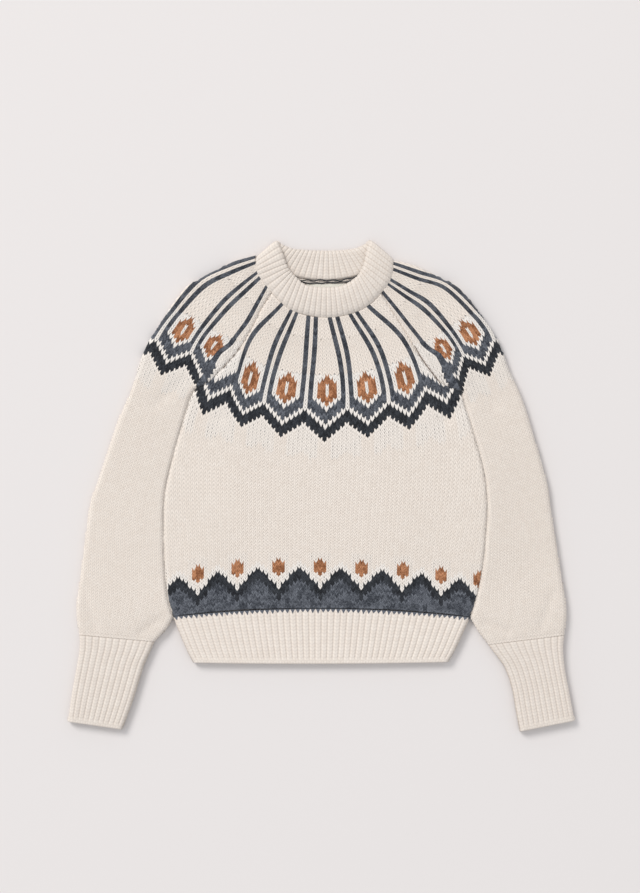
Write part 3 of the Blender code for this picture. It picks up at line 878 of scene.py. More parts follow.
def knit_panel(name, fan, front, steps):
    """The front or the back, with so many lines of points to a row."""
    yarn = panel_yarn(YOKE_START, True, FRONT_CHARTED)
    relief = leg_relief if front else lambda *at: -leg_relief(*at)
    return knit_plain(name, fan, fan.ends_at, YOKE_START, yarn, PANEL_PATTERN, steps,
                      panel_surface(fan, front), relief, 1 if front else -1)


front = knit_panel("knit_front", front_fan, True, 3)

# %% [markdown]
# The back lies underneath, face down, and shows only at the sides, at the hem and inside the neck.
# It has the same wales, but its neck is higher, so the marks of the yoke move up. Its stitches are
# pressed flat where it rests, so their relief goes inwards.

# %% Knit the back
# how far the photo's marks of hem, diamonds, yoke, medallions and half way up move, in its pixels
BACK_SHIFT = (0, 0, 10, 17, 20)
back_line = smooth_line(NECK_BACK, np.linspace(0, 1, 61))
BACK_WALES = []
for number, *marks, neck in FRONT_WALES:
    moved = [(x, y - lift) for (x, y), lift in zip(marks, BACK_SHIFT)]
    neck_y = np.interp((neck[0] - PHOTO_ZERO[0]) * PIXEL, back_line[:, 0], back_line[:, 1])
    BACK_WALES.append((number, *moved, (neck[0], PHOTO_ZERO[1] - neck_y / PIXEL)))
back_fan = panel_fan(BACK_WALES, RAGLAN_BACK)
back = knit_panel("knit_back", back_fan, False, 2)

# %% [markdown]
# A sleeve is a tube that has been pressed flat. Its wales start at the seam under the arm, cross the
# upper side, turn round the outer fold and come back below. Above the armpit the tube opens: it is
# sewn to the front along one raglan seam and to the back along the other. Below the yoke its wales
# are spread evenly between the seam and the fold. In the yoke they follow the medallions that the
# photograph shows, two on each sleeve. Wales are counted from the medallion next to the front.

# %% The sleeves' wales
SLEEVE_ROWS = 123
SLEEVE_YOKE = 88
# row, then how many wales lie between the middle one and the fold, and between it and the seam
SLEEVE_SPREAD = ((0, 19.5, 3.5), (14, 19.5, 3.5), (52, 17.0, 1.0), (88, 16.3, -0.2))
SLEEVE_MARKS = (102.5, 106.9, 112.7, 118, 123)
LOW_MARKS = (0, 15, 30, 45, 60, 75, 88)
SLEEVE_REACH = 26
PAST_SEAM = 1.02
# row, then the share of the shoulder's length from the armpit's row to the neck
SHOULDER_SHARES = ((88, 0), (92, 0.079), (96, 0.16), (102.5, 0.292), (106.8, 0.38), (112.7, 0.64),
                   (118, 0.815), (123, 1))
SLEEVE_WALES = {
    # wale, then photo x and y at the medallions' middle and top, at two rows above and at the neck
    "left": [
        (-15, (166.1, 323.3), (176.6, 310.1), (202.8, 281.9), (228.9, 269.2), (254.7, 260.0)),
        (-10, (184.0, 329.8), (192.5, 317.9), (214.7, 293.7), (235.8, 279.6), (257, 267.2)),
        (-5, (198.8, 337.9), (206.7, 326.9), (226.3, 303.8), (243.0, 288.2), (259.4, 274.1)),
        (0, (213.6, 345.5), (220.8, 335.3), (238.3, 313.6), (251.4, 297.2), (263.8, 281.8)),
        (4, (226.3, 350.6), (232.8, 341.2), (248.2, 321), (258.3, 303.8), (267.5, 287)),
        (8, (238.0, 355.5), (243.8, 346.6), (257.5, 327.5), (264.9, 309.7), (271.2, 292)),
    ],
    "right": [
        (-15, (486.3, 325.3), (475.4, 312.3), (446.5, 285.2), (419.6, 276.0), (393.4, 266.3)),
        (-10, (469.6, 332.8), (460.8, 320.6), (437.6, 295.4), (413.4, 284.9), (390.9, 273.8)),
        (-5, (455.3, 340.4), (447.2, 329.3), (426.2, 306.4), (406.6, 293.3), (388.1, 281.3)),
        (0, (443.5, 348.3), (435.5, 338.1), (415.6, 316.8), (399.9, 301.3), (384.7, 286.8)),
        (4, (431.5, 355.5), (424.6, 345.7), (407.8, 324.7), (394.2, 307.9), (381, 291.8)),
        (8, (420.0, 362.5), (414.4, 352.3), (400.9, 330.2), (388.7, 312.5), (376.5, 295.5)),
    ],
}


class SleeveFan(Fan):
    """A sleeve's wales. The fold is its left edge and the seams its right one, on both sleeves."""

    def __init__(self, side):
        outward = -1 if side == "left" else 1
        gap = np.array([outward * SEAM_GAP / 2, 0])
        under = np.vstack([smooth_line(SLEEVE_HEM_SIDE[side][::-1], np.linspace(0, 1, 12))[:-1],
                           smooth_line(SIDE[side], np.linspace(0, 1, 60))])
        yoke_rows = SLEEVE_ROWS - SLEEVE_YOKE

        def seam(raglan):
            def line(levels):
                below = smooth_line(under, np.clip(levels / SLEEVE_YOKE, 0, 1))
                above = smooth_line(raglan, np.clip((levels - SLEEVE_YOKE) / yoke_rows, 0, 1))
                return np.where((levels < SLEEVE_YOKE)[:, None], below, above) + gap
            return line

        def fold(levels):
            below = smooth_line(ARM_FOLD[side][::-1], np.clip(levels / SLEEVE_YOKE, 0, 1))
            above = smooth_line(SHOULDER[side][::-1], np.interp(levels, *zip(*SHOULDER_SHARES)))
            return np.where((levels < SLEEVE_YOKE)[:, None], below, above)

        front_seam, back_seam = seam(RAGLAN_FRONT[side]), seam(RAGLAN_BACK[side])
        low_marks = np.array(LOW_MARKS, float)
        inner, outer = front_seam(low_marks), fold(low_marks)
        spread = np.array(SLEEVE_SPREAD, float)
        to_fold = np.interp(low_marks, spread[:, 0], spread[:, 1])
        to_seam = np.interp(low_marks, spread[:, 0], spread[:, 2])
        numbers, places = marked_places(SLEEVE_WALES[side])
        for n, number in enumerate(numbers):
            share = ((number + to_fold) / (to_fold + to_seam))[:, None]
            places[n] = np.vstack([outer + (inner - outer) * share, places[n]])
        super().__init__(numbers, places, np.concatenate([low_marks, SLEEVE_MARKS]), SLEEVE_ROWS,
                         fold, front_seam, SLEEVE_REACH)
        self.back_seam = back_seam(self.levels)

    def tube_ends(self, level):
        """The first and the last wale of a row of the whole tube."""
        fold, seam = self.ends_at(level)
        return 2 * fold - seam, seam

    def surface(self, wales, levels):
        """The outer surface of the flattened tube."""
        fold_wale = self.at_level(self.ends["left"], levels)
        seam_wale = self.at_level(self.ends["right"], levels)
        fold = self.at_level(self.edges["left"], levels)
        front_seam = self.at_level(self.edges["right"], levels)
        back_seam = self.at_level(self.back_seam, levels)
        above = wales >= fold_wale
        top = self.place(np.maximum(wales, fold_wale), levels)
        share = np.clip((fold_wale - wales) / (seam_wale - fold_wale), 0, PAST_SEAM)[:, None]
        below = fold + (back_seam - fold) * share
        spots = np.where(above[:, None], top, below)
        seam = np.where(above[:, None], front_seam, back_seam)
        closed = np.clip(SLEEVE_YOKE + 0.5 - levels, 0, 1)
        from_seam = np.linalg.norm(spots - seam, axis=1)
        from_fold = np.linalg.norm(spots - fold, axis=1)
        drop = round_off(from_seam, SIDE_ROUND) * closed * (MID - SEAM_GAP / 4)
        drop = np.maximum(drop, round_off(from_fold, FOLD_ROUND) * MID)
        groove = bump_at(from_seam, GROOVE_REACH, 1 - closed) * GROOVE_DEPTH
        groove += bump_at(levels, RIB_DIP_ROWS, RIB_DIP)
        sunk = (groove + creases(spots[:, 0], spots[:, 1])) * (1 - drop / MID)
        height = np.where(above, FLAT_HEIGHT - drop - sunk, drop)
        return np.column_stack([spots, height])


sleeve_fans = {side: SleeveFan(side) for side in SLEEVE_WALES}
for side, fan in sleeve_fans.items():
    print(side, "sleeve's wales at the cuff:", np.round(fan.tube_ends(0), 1))

# %% [markdown]
# The sleeves are knitted like the front. The relief of the underside goes inwards, where the sleeve
# rests. Between the medallion next to the front and the raglan no whole repeat is left, so the
# wales there are plain.

# %% Knit the sleeves
SLEEVE_CHARTED = (-99, 4.5)


def knit_sleeve(side, fan):
    """A sleeve's whole tube, in one piece."""

    def relief(spot, levels, wales, rows_at):
        underside = wales < fan.at_level(fan.ends["left"], rows_at)
        return leg_relief(spot, levels, wales, rows_at) * np.where(underside, -1, 1)

    return knit_plain(f"knit_sleeve_{side}", fan, fan.tube_ends, SLEEVE_YOKE,
                      panel_yarn(SLEEVE_YOKE, False, SLEEVE_CHARTED, side),
                      ((SLEEVE_YOKE, SLEEVE_YOKE + LINES_ONLY),), 3,
                      fan.surface, relief, 1 if side == "left" else -1, side)


sleeves = {side: knit_sleeve(side, fan) for side, fan in sleeve_fans.items()}

# %% [markdown]
# One by one rib is one plain wale up and one down. It pulls together until the plain wales stand as
# round cords with deep grooves between them. The same lattice serves: here a unit across is a whole
# rib, with more points over the cord. At its lower edge the rib is cast off, which makes a firm
# little chain, so the first row is a raised bead instead.

# %% Ribs and their relief
RIB_SPOTS = (0.0, 0.11, 0.28, 0.5, 0.72, 0.89)
RIB_HEIGHTS = (-0.4, 0.55, 1.02, 0.92, 1.02, 0.55)
RIB_LEAN = 0.45
RIB_STEPS = 3
ROW_DIP = 0.1
CAST_OFF_ROWS = 1.2
CAST_OFF_HEIGHT = 1.0
CHAIN_WAVE = 0.3
TOP_DIP_ROWS = 0.8


def cord(spot, levels):
    """Height of a point on a rib's cord, with a small dip between its stitches."""
    height = np.interp(spot, RIB_SPOTS + (1.0,), RIB_HEIGHTS + (RIB_HEIGHTS[0],))
    return height + ROW_DIP * (np.sin(np.pi * (levels % 1)) ** LEG_ROUND - 0.5)


def knit_rib(name, ribs, rows, surface, under, turn):
    """A wall of rib on its surface. Wales before the number under lie below and only go inwards."""
    first, last = -0.5, ribs - 0.5

    def relief(spot, levels, wales, rows_at):
        chain = CAST_OFF_HEIGHT + CHAIN_WAVE * np.cos(4 * np.pi * spot)
        height = np.where(levels < CAST_OFF_ROWS, chain * np.minimum(levels * 3, 1), cord(spot, levels))
        height = height * np.clip(np.minimum(wales - first, last - wales), 0, 1)
        return np.where(wales < under, -np.maximum(height, 0), height)

    def ends_at(level):
        return first, last

    lattice = Lattice()
    outer = knit_lines(lattice, rows, RIB_STEPS, RIB_SPOTS, lambda row: 1.0, ends_at, RIB_LEAN)
    close_rims(lattice, outer, inner_lines(lattice, rows, 4, 1.0, ends_at), RIB_STEPS)
    return build_cloth(name, lattice, surface, relief, turn=turn)


print("a rib stands", round(max(RIB_HEIGHTS) - min(RIB_HEIGHTS), 2), "mm over its groove")

# %% [markdown]
# The hem's rib lies between its two side lines and bows down in the middle. The front one and the
# back one meet along the side seams, where each turns down or up in a quarter round.

# %% Knit the hem's rib, front and back
HEM_RIBS = 46
HEM_ROWS = 16


def hem_surface(front):
    """The outer surface of the front's or the back's rib."""

    def surface(wales, levels):
        share = np.clip(1 - levels / HEM_ROWS, 0, 1)
        left = smooth_line(HEM_SIDE["left"], share) + (SEAM_GAP / 2, 0)
        right = smooth_line(HEM_SIDE["right"], share) - (SEAM_GAP / 2, 0)
        across = ((wales + 0.5) / HEM_RIBS)[:, None]
        spots = left + (right - left) * across
        rise = HEM_BOW["bottom"] + (HEM_BOW["top"] - HEM_BOW["bottom"]) * (1 - share)
        spots[:, 1] += rise * (4 * across * (1 - across))[:, 0]
        drop = np.zeros(len(wales))
        for edge in (left, right):
            drop += round_off(np.linalg.norm(spots - edge, axis=1), SIDE_ROUND)
        drop *= MID - SEAM_GAP / 2
        dip = bump_at(HEM_ROWS - levels, TOP_DIP_ROWS, RIB_DIP) * (1 - drop / MID)
        return np.column_stack([spots, FLAT_HEIGHT - drop - dip if front else drop])

    return surface


hems = {"front": knit_rib("rib_hem_front", HEM_RIBS, HEM_ROWS, hem_surface(True), -1, 1),
        "back": knit_rib("rib_hem_back", HEM_RIBS, HEM_ROWS, hem_surface(False), HEM_RIBS, -1)}

# %% [markdown]
# A cuff is a flattened tube like its sleeve, so its ribs run from the seam below to the fold and
# back to the seam on the upper side.

# %% Knit the cuffs
CUFF_RIBS = 11
CUFF_ROWS = 28
CUFF_TURN = CUFF_RIBS - 0.5


def cuff_surface(side):
    """The outer surface of a flattened cuff."""

    def surface(wales, levels):
        share = np.clip(1 - levels / CUFF_ROWS, 0, 1)
        fold = smooth_line(CUFF_FOLD[side], share)
        inner = smooth_line(CUFF_INNER[side], share)
        across = np.abs(wales - CUFF_TURN) / CUFF_RIBS
        spots = fold + (inner - fold) * across[:, None]
        drop = round_off(np.linalg.norm(spots - fold, axis=1), FOLD_ROUND) * MID
        at_seam = round_off(np.linalg.norm(spots - inner, axis=1), SIDE_ROUND)
        drop = np.maximum(drop, at_seam * (MID - SEAM_GAP / 4))
        dip = bump_at(CUFF_ROWS - levels, TOP_DIP_ROWS, RIB_DIP) * (1 - drop / MID)
        return np.column_stack([spots, np.where(wales >= CUFF_TURN, FLAT_HEIGHT - drop - dip, drop)])

    return surface


cuffs = {side: knit_rib(f"rib_cuff_{side}", 2 * CUFF_RIBS, CUFF_ROWS, cuff_surface(side),
                        CUFF_TURN, turn)
         for side, turn in (("left", 1), ("right", -1))}

# %% [markdown]
# The neckband is knitted up from the neck, folded over and sewn down inside, so it is a soft roll
# with ribs on both faces. Its solid is a ring between two closed curves, the seam and the fold, each
# marked at sixteen stations. The finer ring here goes through the same stations, with a section of
# twenty rows from the seam over the fold and down inside.

# %% The neckband's ring
NECKBAND = [
    # station, then x, y and z of the seam and of the fold
    ("front middle", (6.5, 245.3, 11.4), (6.5, 286.2, 13.4)),
    ("front left", (-33.0, 252.0, 11.6), (-22.3, 289.4, 13.6)),
    ("neck corner left", (-56.8, 265.4, 11.9), (-38.5, 302.0, 13.8)),
    ("side left", (-87.0, 300.6, 12.0), (-50.5, 317.0, 13.4)),
    ("shoulder front left", (-93.8, 317.5, 11.7), (-58.0, 338.0, 12.8)),
    ("shoulder left", (-94.4, 327.5, 7.7), (-64.5, 353.4, 9.0)),
    ("shoulder back left", (-86.0, 321.5, 3.8), (-57.0, 348.6, 4.2)),
    ("back left", (-63.0, 308.5, 3.8), (-38.0, 342.2, 3.8)),
    ("back middle", (6.0, 298.6, 3.8), (6.5, 340.0, 3.8)),
    ("back right", (70.0, 309.0, 3.8), (43.0, 342.4, 3.8)),
    ("shoulder back right", (93.0, 320.5, 3.8), (61.5, 349.0, 4.2)),
    ("shoulder right", (101.5, 325.0, 7.7), (68.0, 354.0, 9.0)),
    ("shoulder front right", (101.0, 311.0, 11.7), (64.5, 338.0, 12.8)),
    ("side right", (93.8, 292.8, 12.0), (60.0, 318.0, 13.4)),
    ("neck corner right", (67.0, 263.8, 11.9), (50.0, 301.5, 13.8)),
    ("front right", (39.3, 250.5, 11.6), (30.0, 289.2, 13.6)),
]
BAND_HALF = 3.8
BAND_DEPTH = 43
BAND_CROWN = 2.0
# the band's cut, as shares of its depth and of its half thickness
BAND_SECTION = [(-0.07, 0.0), (-0.02, 0.45), (0.05, 0.82), (0.14, 1.0), (0.45, 1.0), (0.8, 0.98),
                (0.95, 0.62), (1.0, 0.0), (0.95, -0.62), (0.8, -0.98), (0.45, -1.0), (0.08, -1.0),
                (0.0, -0.8)]
BAND_ROWS = 20
BAND_STEPS = 3
COLLAR_RIBS = {"front": 34, "back": 24}
RING_STEPS = 45
SEAM_RELIEF = 0.2
LOWEST = 0.1
AHEAD = 0.01


def ring_line(points, shares):
    """Points at shares of a smooth closed curve whose stations are evenly numbered."""
    p = np.array(points, float)
    at = np.asarray(shares, float) % 1 * len(p)
    k = at.astype(int)
    t = (at - k)[:, None]
    return between_marks(*(p[(k + n) % len(p)] for n in (-1, 0, 1, 2)), t)


def collar_columns():
    """Shares round the ring and spots across a rib, for every column of points."""
    seam, fold = [row[1] for row in NECKBAND], [row[2] for row in NECKBAND]
    even = np.linspace(0, 1, RING_STEPS * len(NECKBAND) + 1)
    middle = (ring_line(seam, even) + ring_line(fold, even)) / 2
    run = np.concatenate([[0], np.cumsum(np.linalg.norm(np.diff(middle, axis=0), axis=1))])
    names = [row[0] for row in NECKBAND]
    left = run[RING_STEPS * names.index("shoulder left")]
    right = run[RING_STEPS * names.index("shoulder right")]
    half = COLLAR_RIBS["front"] // 2
    stops, spots = [], []
    for start, end, ribs in ((0, left, half), (left, right, COLLAR_RIBS["back"]),
                             (right, run[-1], half)):
        for rib in range(ribs):
            stops.extend(start + (end - start) * (rib + spot) / ribs for spot in RIB_SPOTS)
            spots.extend(RIB_SPOTS)
    return np.interp(stops, run, even), np.array(spots), even[1]


def knit_neckband():
    """The ring: every column of points follows the section from the seam over the fold."""
    shares, spots, step = collar_columns()
    seam, fold = [row[1] for row in NECKBAND], [row[2] for row in NECKBAND]
    base, tip = ring_line(seam, shares), ring_line(fold, shares)
    around = sum(ring_line(line, shares + step) - ring_line(line, shares - step)
                 for line in (seam, fold))
    along = unit(tip - base)
    normal = unit(np.cross(around, along))
    if normal[0, 2] < 0:
        normal = -normal
    outline = np.array(BAND_SECTION) * (BAND_DEPTH, BAND_HALF)
    lean = RIB_LEAN * (np.abs(2 * spots - 1) - 0.5)
    lines = []
    for level in np.linspace(0, BAND_ROWS, BAND_ROWS * BAND_STEPS + 1):
        fade = min(1, level, BAND_ROWS - level)
        at = (level + lean * fade) / BAND_ROWS
        place = smooth_line(outline, at)
        ahead = smooth_line(outline, np.clip(at + AHEAD, 0, 1)) - smooth_line(outline, at - AHEAD)
        out = unit(np.column_stack([-ahead[:, 1], ahead[:, 0]]))
        place = place + out * (cord(spots, level) * min(1, fade + SEAM_RELIEF))[:, None]
        share = (place[:, 0] / BAND_DEPTH)[:, None]
        points = base + (tip - base) * share + normal * place[:, 1:]
        crown = BAND_CROWN * np.sin(np.pi * np.clip(share[:, 0], 0, 1)) * np.clip(normal[:, 2], 0, 1)
        points[:, 2] = np.maximum(points[:, 2] + crown, LOWEST)
        lines.append(points)
    grid = np.array(lines)
    rows, columns = grid.shape[:2]
    faces, coordinates = [], []
    for r in range(rows):
        for c in range(columns):
            r1, c1 = (r + 1) % rows, (c + 1) % columns
            faces.append((r * columns + c, r * columns + c1, r1 * columns + c1, r1 * columns + c))
            rib = c // len(RIB_SPOTS)
            left, right = rib + spots[c], rib + (spots[c1] or 1)
            low, high = r / BAND_STEPS, (r + 1) / BAND_STEPS
            coordinates.extend([(left, low), (right, low), (right, high), (left, high)])
    mesh = bpy.data.meshes.new("rib_neckband")
    mesh.from_pydata(((grid.reshape(-1, 3) - PLAN_CENTRE) * MM).tolist(), [], faces)
    mesh.uv_layers.new(name="Stitches").data.foreach_set("uv", np.array(coordinates).ravel())
    colour = mesh.color_attributes.new("Yarn", "FLOAT_COLOR", "CORNER")
    colour.data.foreach_set("color", np.zeros(4 * len(coordinates)))
    item = add_object("rib_neckband", mesh)
    bpy.ops.object.mode_set(mode="EDIT")
    bpy.ops.mesh.select_all(action="SELECT")
    bpy.ops.mesh.normals_make_consistent(inside=False)
    bpy.ops.object.mode_set(mode="OBJECT")
    bpy.ops.object.shade_smooth()
    print("rib_neckband points", rows * columns, "triangles", 2 * len(faces))
    return item


neckband = knit_neckband()

# %% [markdown]
# Inside the back of the neck the yarns that wait between the dark lines cross the wrong side as two
# wavy strands, and a small woven label is sewn over them. Short dark brown tubes along the raglan
# seams near the armpits are painted shade in the slits where the two pieces meet. A strand or a tube
# is a curve with a round bevel, turned into a mesh. The label starts as a cube of its own size, its
# corners are rounded, and it is left bare.

# %% Strands and label inside the neck
STRAND_PITCH = 19
STRAND_POINTS = 120
STRANDS = {
    # photo x and y along the strand, then its height, radius and wave in millimetres
    "upper": ([(292, 276.2), (297, 278.9), (306, 280.3), (320, 280.0), (335, 280.3), (347, 279.0),
               (358, 275.5)], 7.2, 0.85, 0.9),
    "lower": ([(299, 281.4), (306, 282.6), (314, 283.0), (329, 282.4), (345, 281.6), (353, 279.8)],
              6.4, 0.85, 0.45),
}
# dark tubes of painted shade in the slits of the raglan seams near the armpits
SEAM_SHADE_TUBES = {
    "right": ([(414.6, 345.8), (422.5, 359.7), (433.4, 374.5), (440.3, 383.4)], 11.9, 0.5, 0.15),
    "left_1": ([(239.4, 347.6), (237.2, 350.8)], 13.1, 0.5, 0.1),
    "left_2": ([(234.9, 354.1), (232.6, 357.4)], 13.1, 0.5, 0.1),
    "left_3": ([(230.4, 359.6), (229.0, 361.6)], 13.1, 0.4, 0.1),
    "left_4": ([(226.6, 364.0), (223.6, 368.0)], 13.1, 0.5, 0.1),
}
LABEL_SIZE = (60.5, 15, 0.8)
LABEL_CENTRE = (8.25, 284.5, 5.1)
LABEL_CORNER = 0.3
SHARP_FROM = 40


def make_strand(name, pixels, height, radius, wave):
    """A round tube along places of the photograph, with a gentle wave: a yarn, or a line of painted
    seam shade.
    """
    shares = np.linspace(0, 1, STRAND_POINTS)
    line = smooth_line([plan(pixel) for pixel in pixels], shares)
    along = shares * np.linalg.norm(np.diff(line, axis=0), axis=1).sum()
    line[:, 1] += wave * np.sin(2 * np.pi * along / STRAND_PITCH)
    rise = wave / 2 * np.cos(2 * np.pi * along / STRAND_PITCH)
    curve = bpy.data.curves.new(name, "CURVE")
    curve.dimensions = "3D"
    curve.bevel_depth = radius * MM
    curve.bevel_resolution = 2
    curve.use_fill_caps = True
    spline = curve.splines.new("POLY")
    spline.points.add(len(line) - 1)
    for point, (x, y), lift in zip(spline.points, line, rise):
        place = (np.array([x, y, height + lift]) - PLAN_CENTRE) * MM
        point.co = (*place, 1)
    add_object(name, curve)
    bpy.ops.object.convert(target="MESH")
    bpy.ops.object.shade_smooth()
    print(name, "length", round(float(along[-1])), "mm")
    return bpy.context.view_layer.objects.active


def make_label():
    """The bare tape, from a cube with its corners rounded."""
    deselect_all()
    place = (np.array(LABEL_CENTRE) - PLAN_CENTRE) * MM
    bpy.ops.mesh.primitive_cube_add(size=1, location=place, scale=[s * MM for s in LABEL_SIZE])
    item = bpy.context.view_layer.objects.active
    item.name = item.data.name = "woven_label"
    bpy.ops.object.transform_apply(location=True, rotation=True, scale=True)
    bpy.ops.object.mode_set(mode="EDIT")
    bpy.ops.mesh.select_all(action="SELECT")
    bpy.ops.mesh.bevel(offset=LABEL_CORNER * MM, segments=2, affect="EDGES")
    bpy.ops.object.mode_set(mode="OBJECT")
    bpy.ops.object.shade_smooth_by_angle(angle=math.radians(SHARP_FROM))
    print("woven_label corners", len(item.data.vertices))
    return item


strands = [make_strand(f"neck_strand_{name}", *row) for name, row in STRANDS.items()]
seam_shade_tubes = [make_strand(f"seam_shade_tube_{name}", *row) for name, row in SEAM_SHADE_TUBES.items()]
woven_label = make_label()

# %% [markdown]
# Wool has three things that the eye knows: round plied legs with dark grooves between them, fine
# fibres that blur every edge, and heathered colour, where light and dark hairs are carded together.
# The first two are used by every yarn, so each is a node group. The first reads the UV map that
# counts stitches: its whole parts number the stitch and its fractions are places on it.

# %% Node helpers and the two shared groups
MOTTLE_SCALE, FUZZ_SCALE = 330, 1500
LEG_TONE_ROUND = 0.6
LEG_TONE_NECK = 0.4
PLY_TWISTS = 6
GAP_REACH = 3.0
GAP_FALL = 10


class Wire:
    """A value in a node tree. Sums of wires add the nodes that work them out."""

    def __init__(self, socket):
        self.socket = socket

    def calc(self, operation, other=None, swapped=False, clamp=False):
        pair = (other, self) if swapped else (self, other)
        node = add_node(self.socket.id_data, "ShaderNodeMath", dict(enumerate(pair)),
                        operation=operation, use_clamp=clamp)
        return Wire(node.outputs[0])

    def __add__(self, other):
        return self.calc("ADD", other)

    def __sub__(self, other):
        return self.calc("SUBTRACT", other)

    def __rsub__(self, other):
        return self.calc("SUBTRACT", other, swapped=True)

    def __mul__(self, other):
        return self.calc("MULTIPLY", other)

    def __truediv__(self, other):
        return self.calc("DIVIDE", other)

    def __pow__(self, other):
        return self.calc("POWER", other)

    def __abs__(self):
        return self.calc("ABSOLUTE")

    def clamped(self):
        return self.calc("ADD", 0.0, clamp=True)


def feed(node, inputs):
    """Links a node's inputs to wires, or sets them to plain values."""
    for name, value in inputs.items():
        if isinstance(value, Wire):
            node.id_data.links.new(value.socket, node.inputs[name])
        elif value is not None:
            node.inputs[name].default_value = value
    return node


def add_node(tree, kind, inputs, **settings):
    """A new node, with its settings made and its inputs fed."""
    node = tree.nodes.new(kind)
    for name, value in settings.items():
        setattr(node, name, value)
    return feed(node, inputs)


def split(wire, kind, names, **settings):
    """The named outputs of a node that a wire goes into."""
    node = add_node(wire.socket.id_data, kind, {0: wire}, **settings)
    return [Wire(node.outputs[name]) for name in names]


def blend(share, first, second, kind="MIX"):
    """A mix of two colours."""
    node = add_node(share.socket.id_data, "ShaderNodeMix", {}, data_type="RGBA", blend_type=kind)
    return Wire(feed(node, {"Factor": share, 6: first, 7: second}).outputs[2])


def noise(place, scale, detail, roughness=0.6):
    """Soft noise at a place of the cloth."""
    settings = {"Vector": place, "Scale": scale, "Detail": detail, "Roughness": roughness}
    return Wire(add_node(place.socket.id_data, "ShaderNodeTexNoise", settings).outputs["Fac"])


def bumpy(height, strength, distance):
    """The normal of a surface with small relief, so many millimetres high."""
    settings = {"Strength": strength, "Distance": distance * MM, "Height": height}
    return Wire(add_node(height.socket.id_data, "ShaderNodeBump", settings).outputs[0])


def plied_legs(stitch):
    """1 on a leg and 0 in its grooves, the height of the twisted plies, the small gap at the notch
    of each V, and a number of the stitch's own."""
    along, across = [place.calc("FRACT") for place in split(stitch, "ShaderNodeSeparateXYZ", "XY")]
    length = abs((along * (2 * math.pi)).calc("SINE")) * (1 - LEG_TONE_NECK) + LEG_TONE_NECK
    side = abs(along - 0.5)
    twist = ((side * PLY_TWISTS + across) * (2 * math.pi)).calc("SINE")
    apart = side * PLY_TWISTS - abs(across - 0.5) * GAP_FALL
    number, = split(stitch, "ShaderNodeVectorMath", [0], operation="FLOOR")
    own, = split(number, "ShaderNodeTexWhiteNoise", ["Value"], noise_dimensions="2D")
    return {"Leg": (across * math.pi).calc("SINE") ** LEG_TONE_ROUND * length,
            "Ply": twist * 0.5 + 0.5, "Gap": (-GAP_REACH - apart).clamped(), "Own": own}


def wool_fibres(place):
    """Slow mottling between hanks, and the fine fuzz of single fibres."""
    return {"Mottle": noise(place, MOTTLE_SCALE, 3), "Fuzz": noise(place, FUZZ_SCALE, 4, 0.75)}


def new_group(name, make):
    """A node group that makes its named outputs from one vector."""
    tree = bpy.data.node_groups.new(name, "ShaderNodeTree")
    tree.interface.new_socket("Vector", in_out="INPUT", socket_type="NodeSocketVector")
    results = make(Wire(tree.nodes.new("NodeGroupInput").outputs["Vector"]))
    for label in results:
        tree.interface.new_socket(label, in_out="OUTPUT", socket_type="NodeSocketFloat")
    add_node(tree, "NodeGroupOutput", results)
    return tree


PLIED_LEGS, WOOL_FIBRES = new_group("Plied legs", plied_legs), new_group("Wool fibres", wool_fibres)
print("groups:", PLIED_LEGS.name, "and", WOOL_FIBRES.name)

# %% [markdown]
# A wool material puts the groups together. Each yarn has a dark and a light fibre colour, and the
# fuzz chooses between them, weakly in the cream and strongly in the dyed yarns. The mask on the mesh
# then chooses the yarn. The grooves get a little painted shade in the base colour, because light that
# enters fuzzy wool is lost there, and the plies and fibres give a fine bump.

# %% The yarns
YARN_COLOURS = {
    # darker and lighter fibres
    "cream": ((0.83, 0.725, 0.635), (0.965, 0.885, 0.805)),
    "navy": ((0.008, 0.009, 0.012), (0.056, 0.062, 0.073)),
    "slate": ((0.020, 0.024, 0.033), (0.185, 0.198, 0.228)),
    "rust": ((0.19, 0.062, 0.020), (0.70, 0.325, 0.165)),
}
# the ribs' cream is painted a little darker, as shade among their tight ribs, the hem's less so
RIB_SHADE_SHARE = 0.885
HEM_SHADE_SHARE = 0.925
GROOVE_SHADE = 0.70
RIB_LEG_SHADE = 0.82
GAP_COLOUR = (0.05, 0.05, 0.06, 1)
LIGHTER_CREAM = (0.97, 0.94, 0.90, 1)
# dark brown of the painted shade in the raglan seams' slits
SEAM_SHADE_COLOURS = ((0.10, 0.06, 0.04), (0.22, 0.14, 0.10))
# painted shade in the grooves between ribs: where it starts across a rib, how strong, its colour
RIB_SHADE_FROM = 0.36
RIB_SHADE_DEPTH = 0.17
RIB_SHADE_COLOUR = (0.60, 0.50, 0.42, 1)
TOOTH_COLOUR = (0.12, 0.13, 0.155, 1)
TEETH_PER_RIB = 1.27
TOOTH_ROWS = 1.15
TOOTH_UNDER = 0.1
TOOTH_SHARP = 9.0
# how hairs are made of mottling, fuzz and the stitch's own number, and made stronger in dyed yarn
MOTTLE_SHARE, FUZZ_SHARE, OWN_SHARE, HAIR_SHIFT = 0.5, 1.6, 0.25, 0.67
HEATHER_CONTRAST, HEATHER_MIDDLE = 3.0, 0.45
GAP_GAIN, GAP_SHIFT = 2.0, 0.4
LIGHTER_POWER, LIGHTER_SHARE = 6.0, 0.5
ROUGH, ROUGH_FUZZ = 0.78, 0.2


def new_material(name):
    """A material, its node tree and its shader."""
    material = bpy.data.materials.new(name)
    material.use_nodes = True
    return material, material.node_tree, material.node_tree.nodes["Principled BSDF"]


def shaded_colours(colours, share):
    """The same colours, darker: a copy with painted shade."""
    return [tuple(share * part for part in colour) for colour in colours]


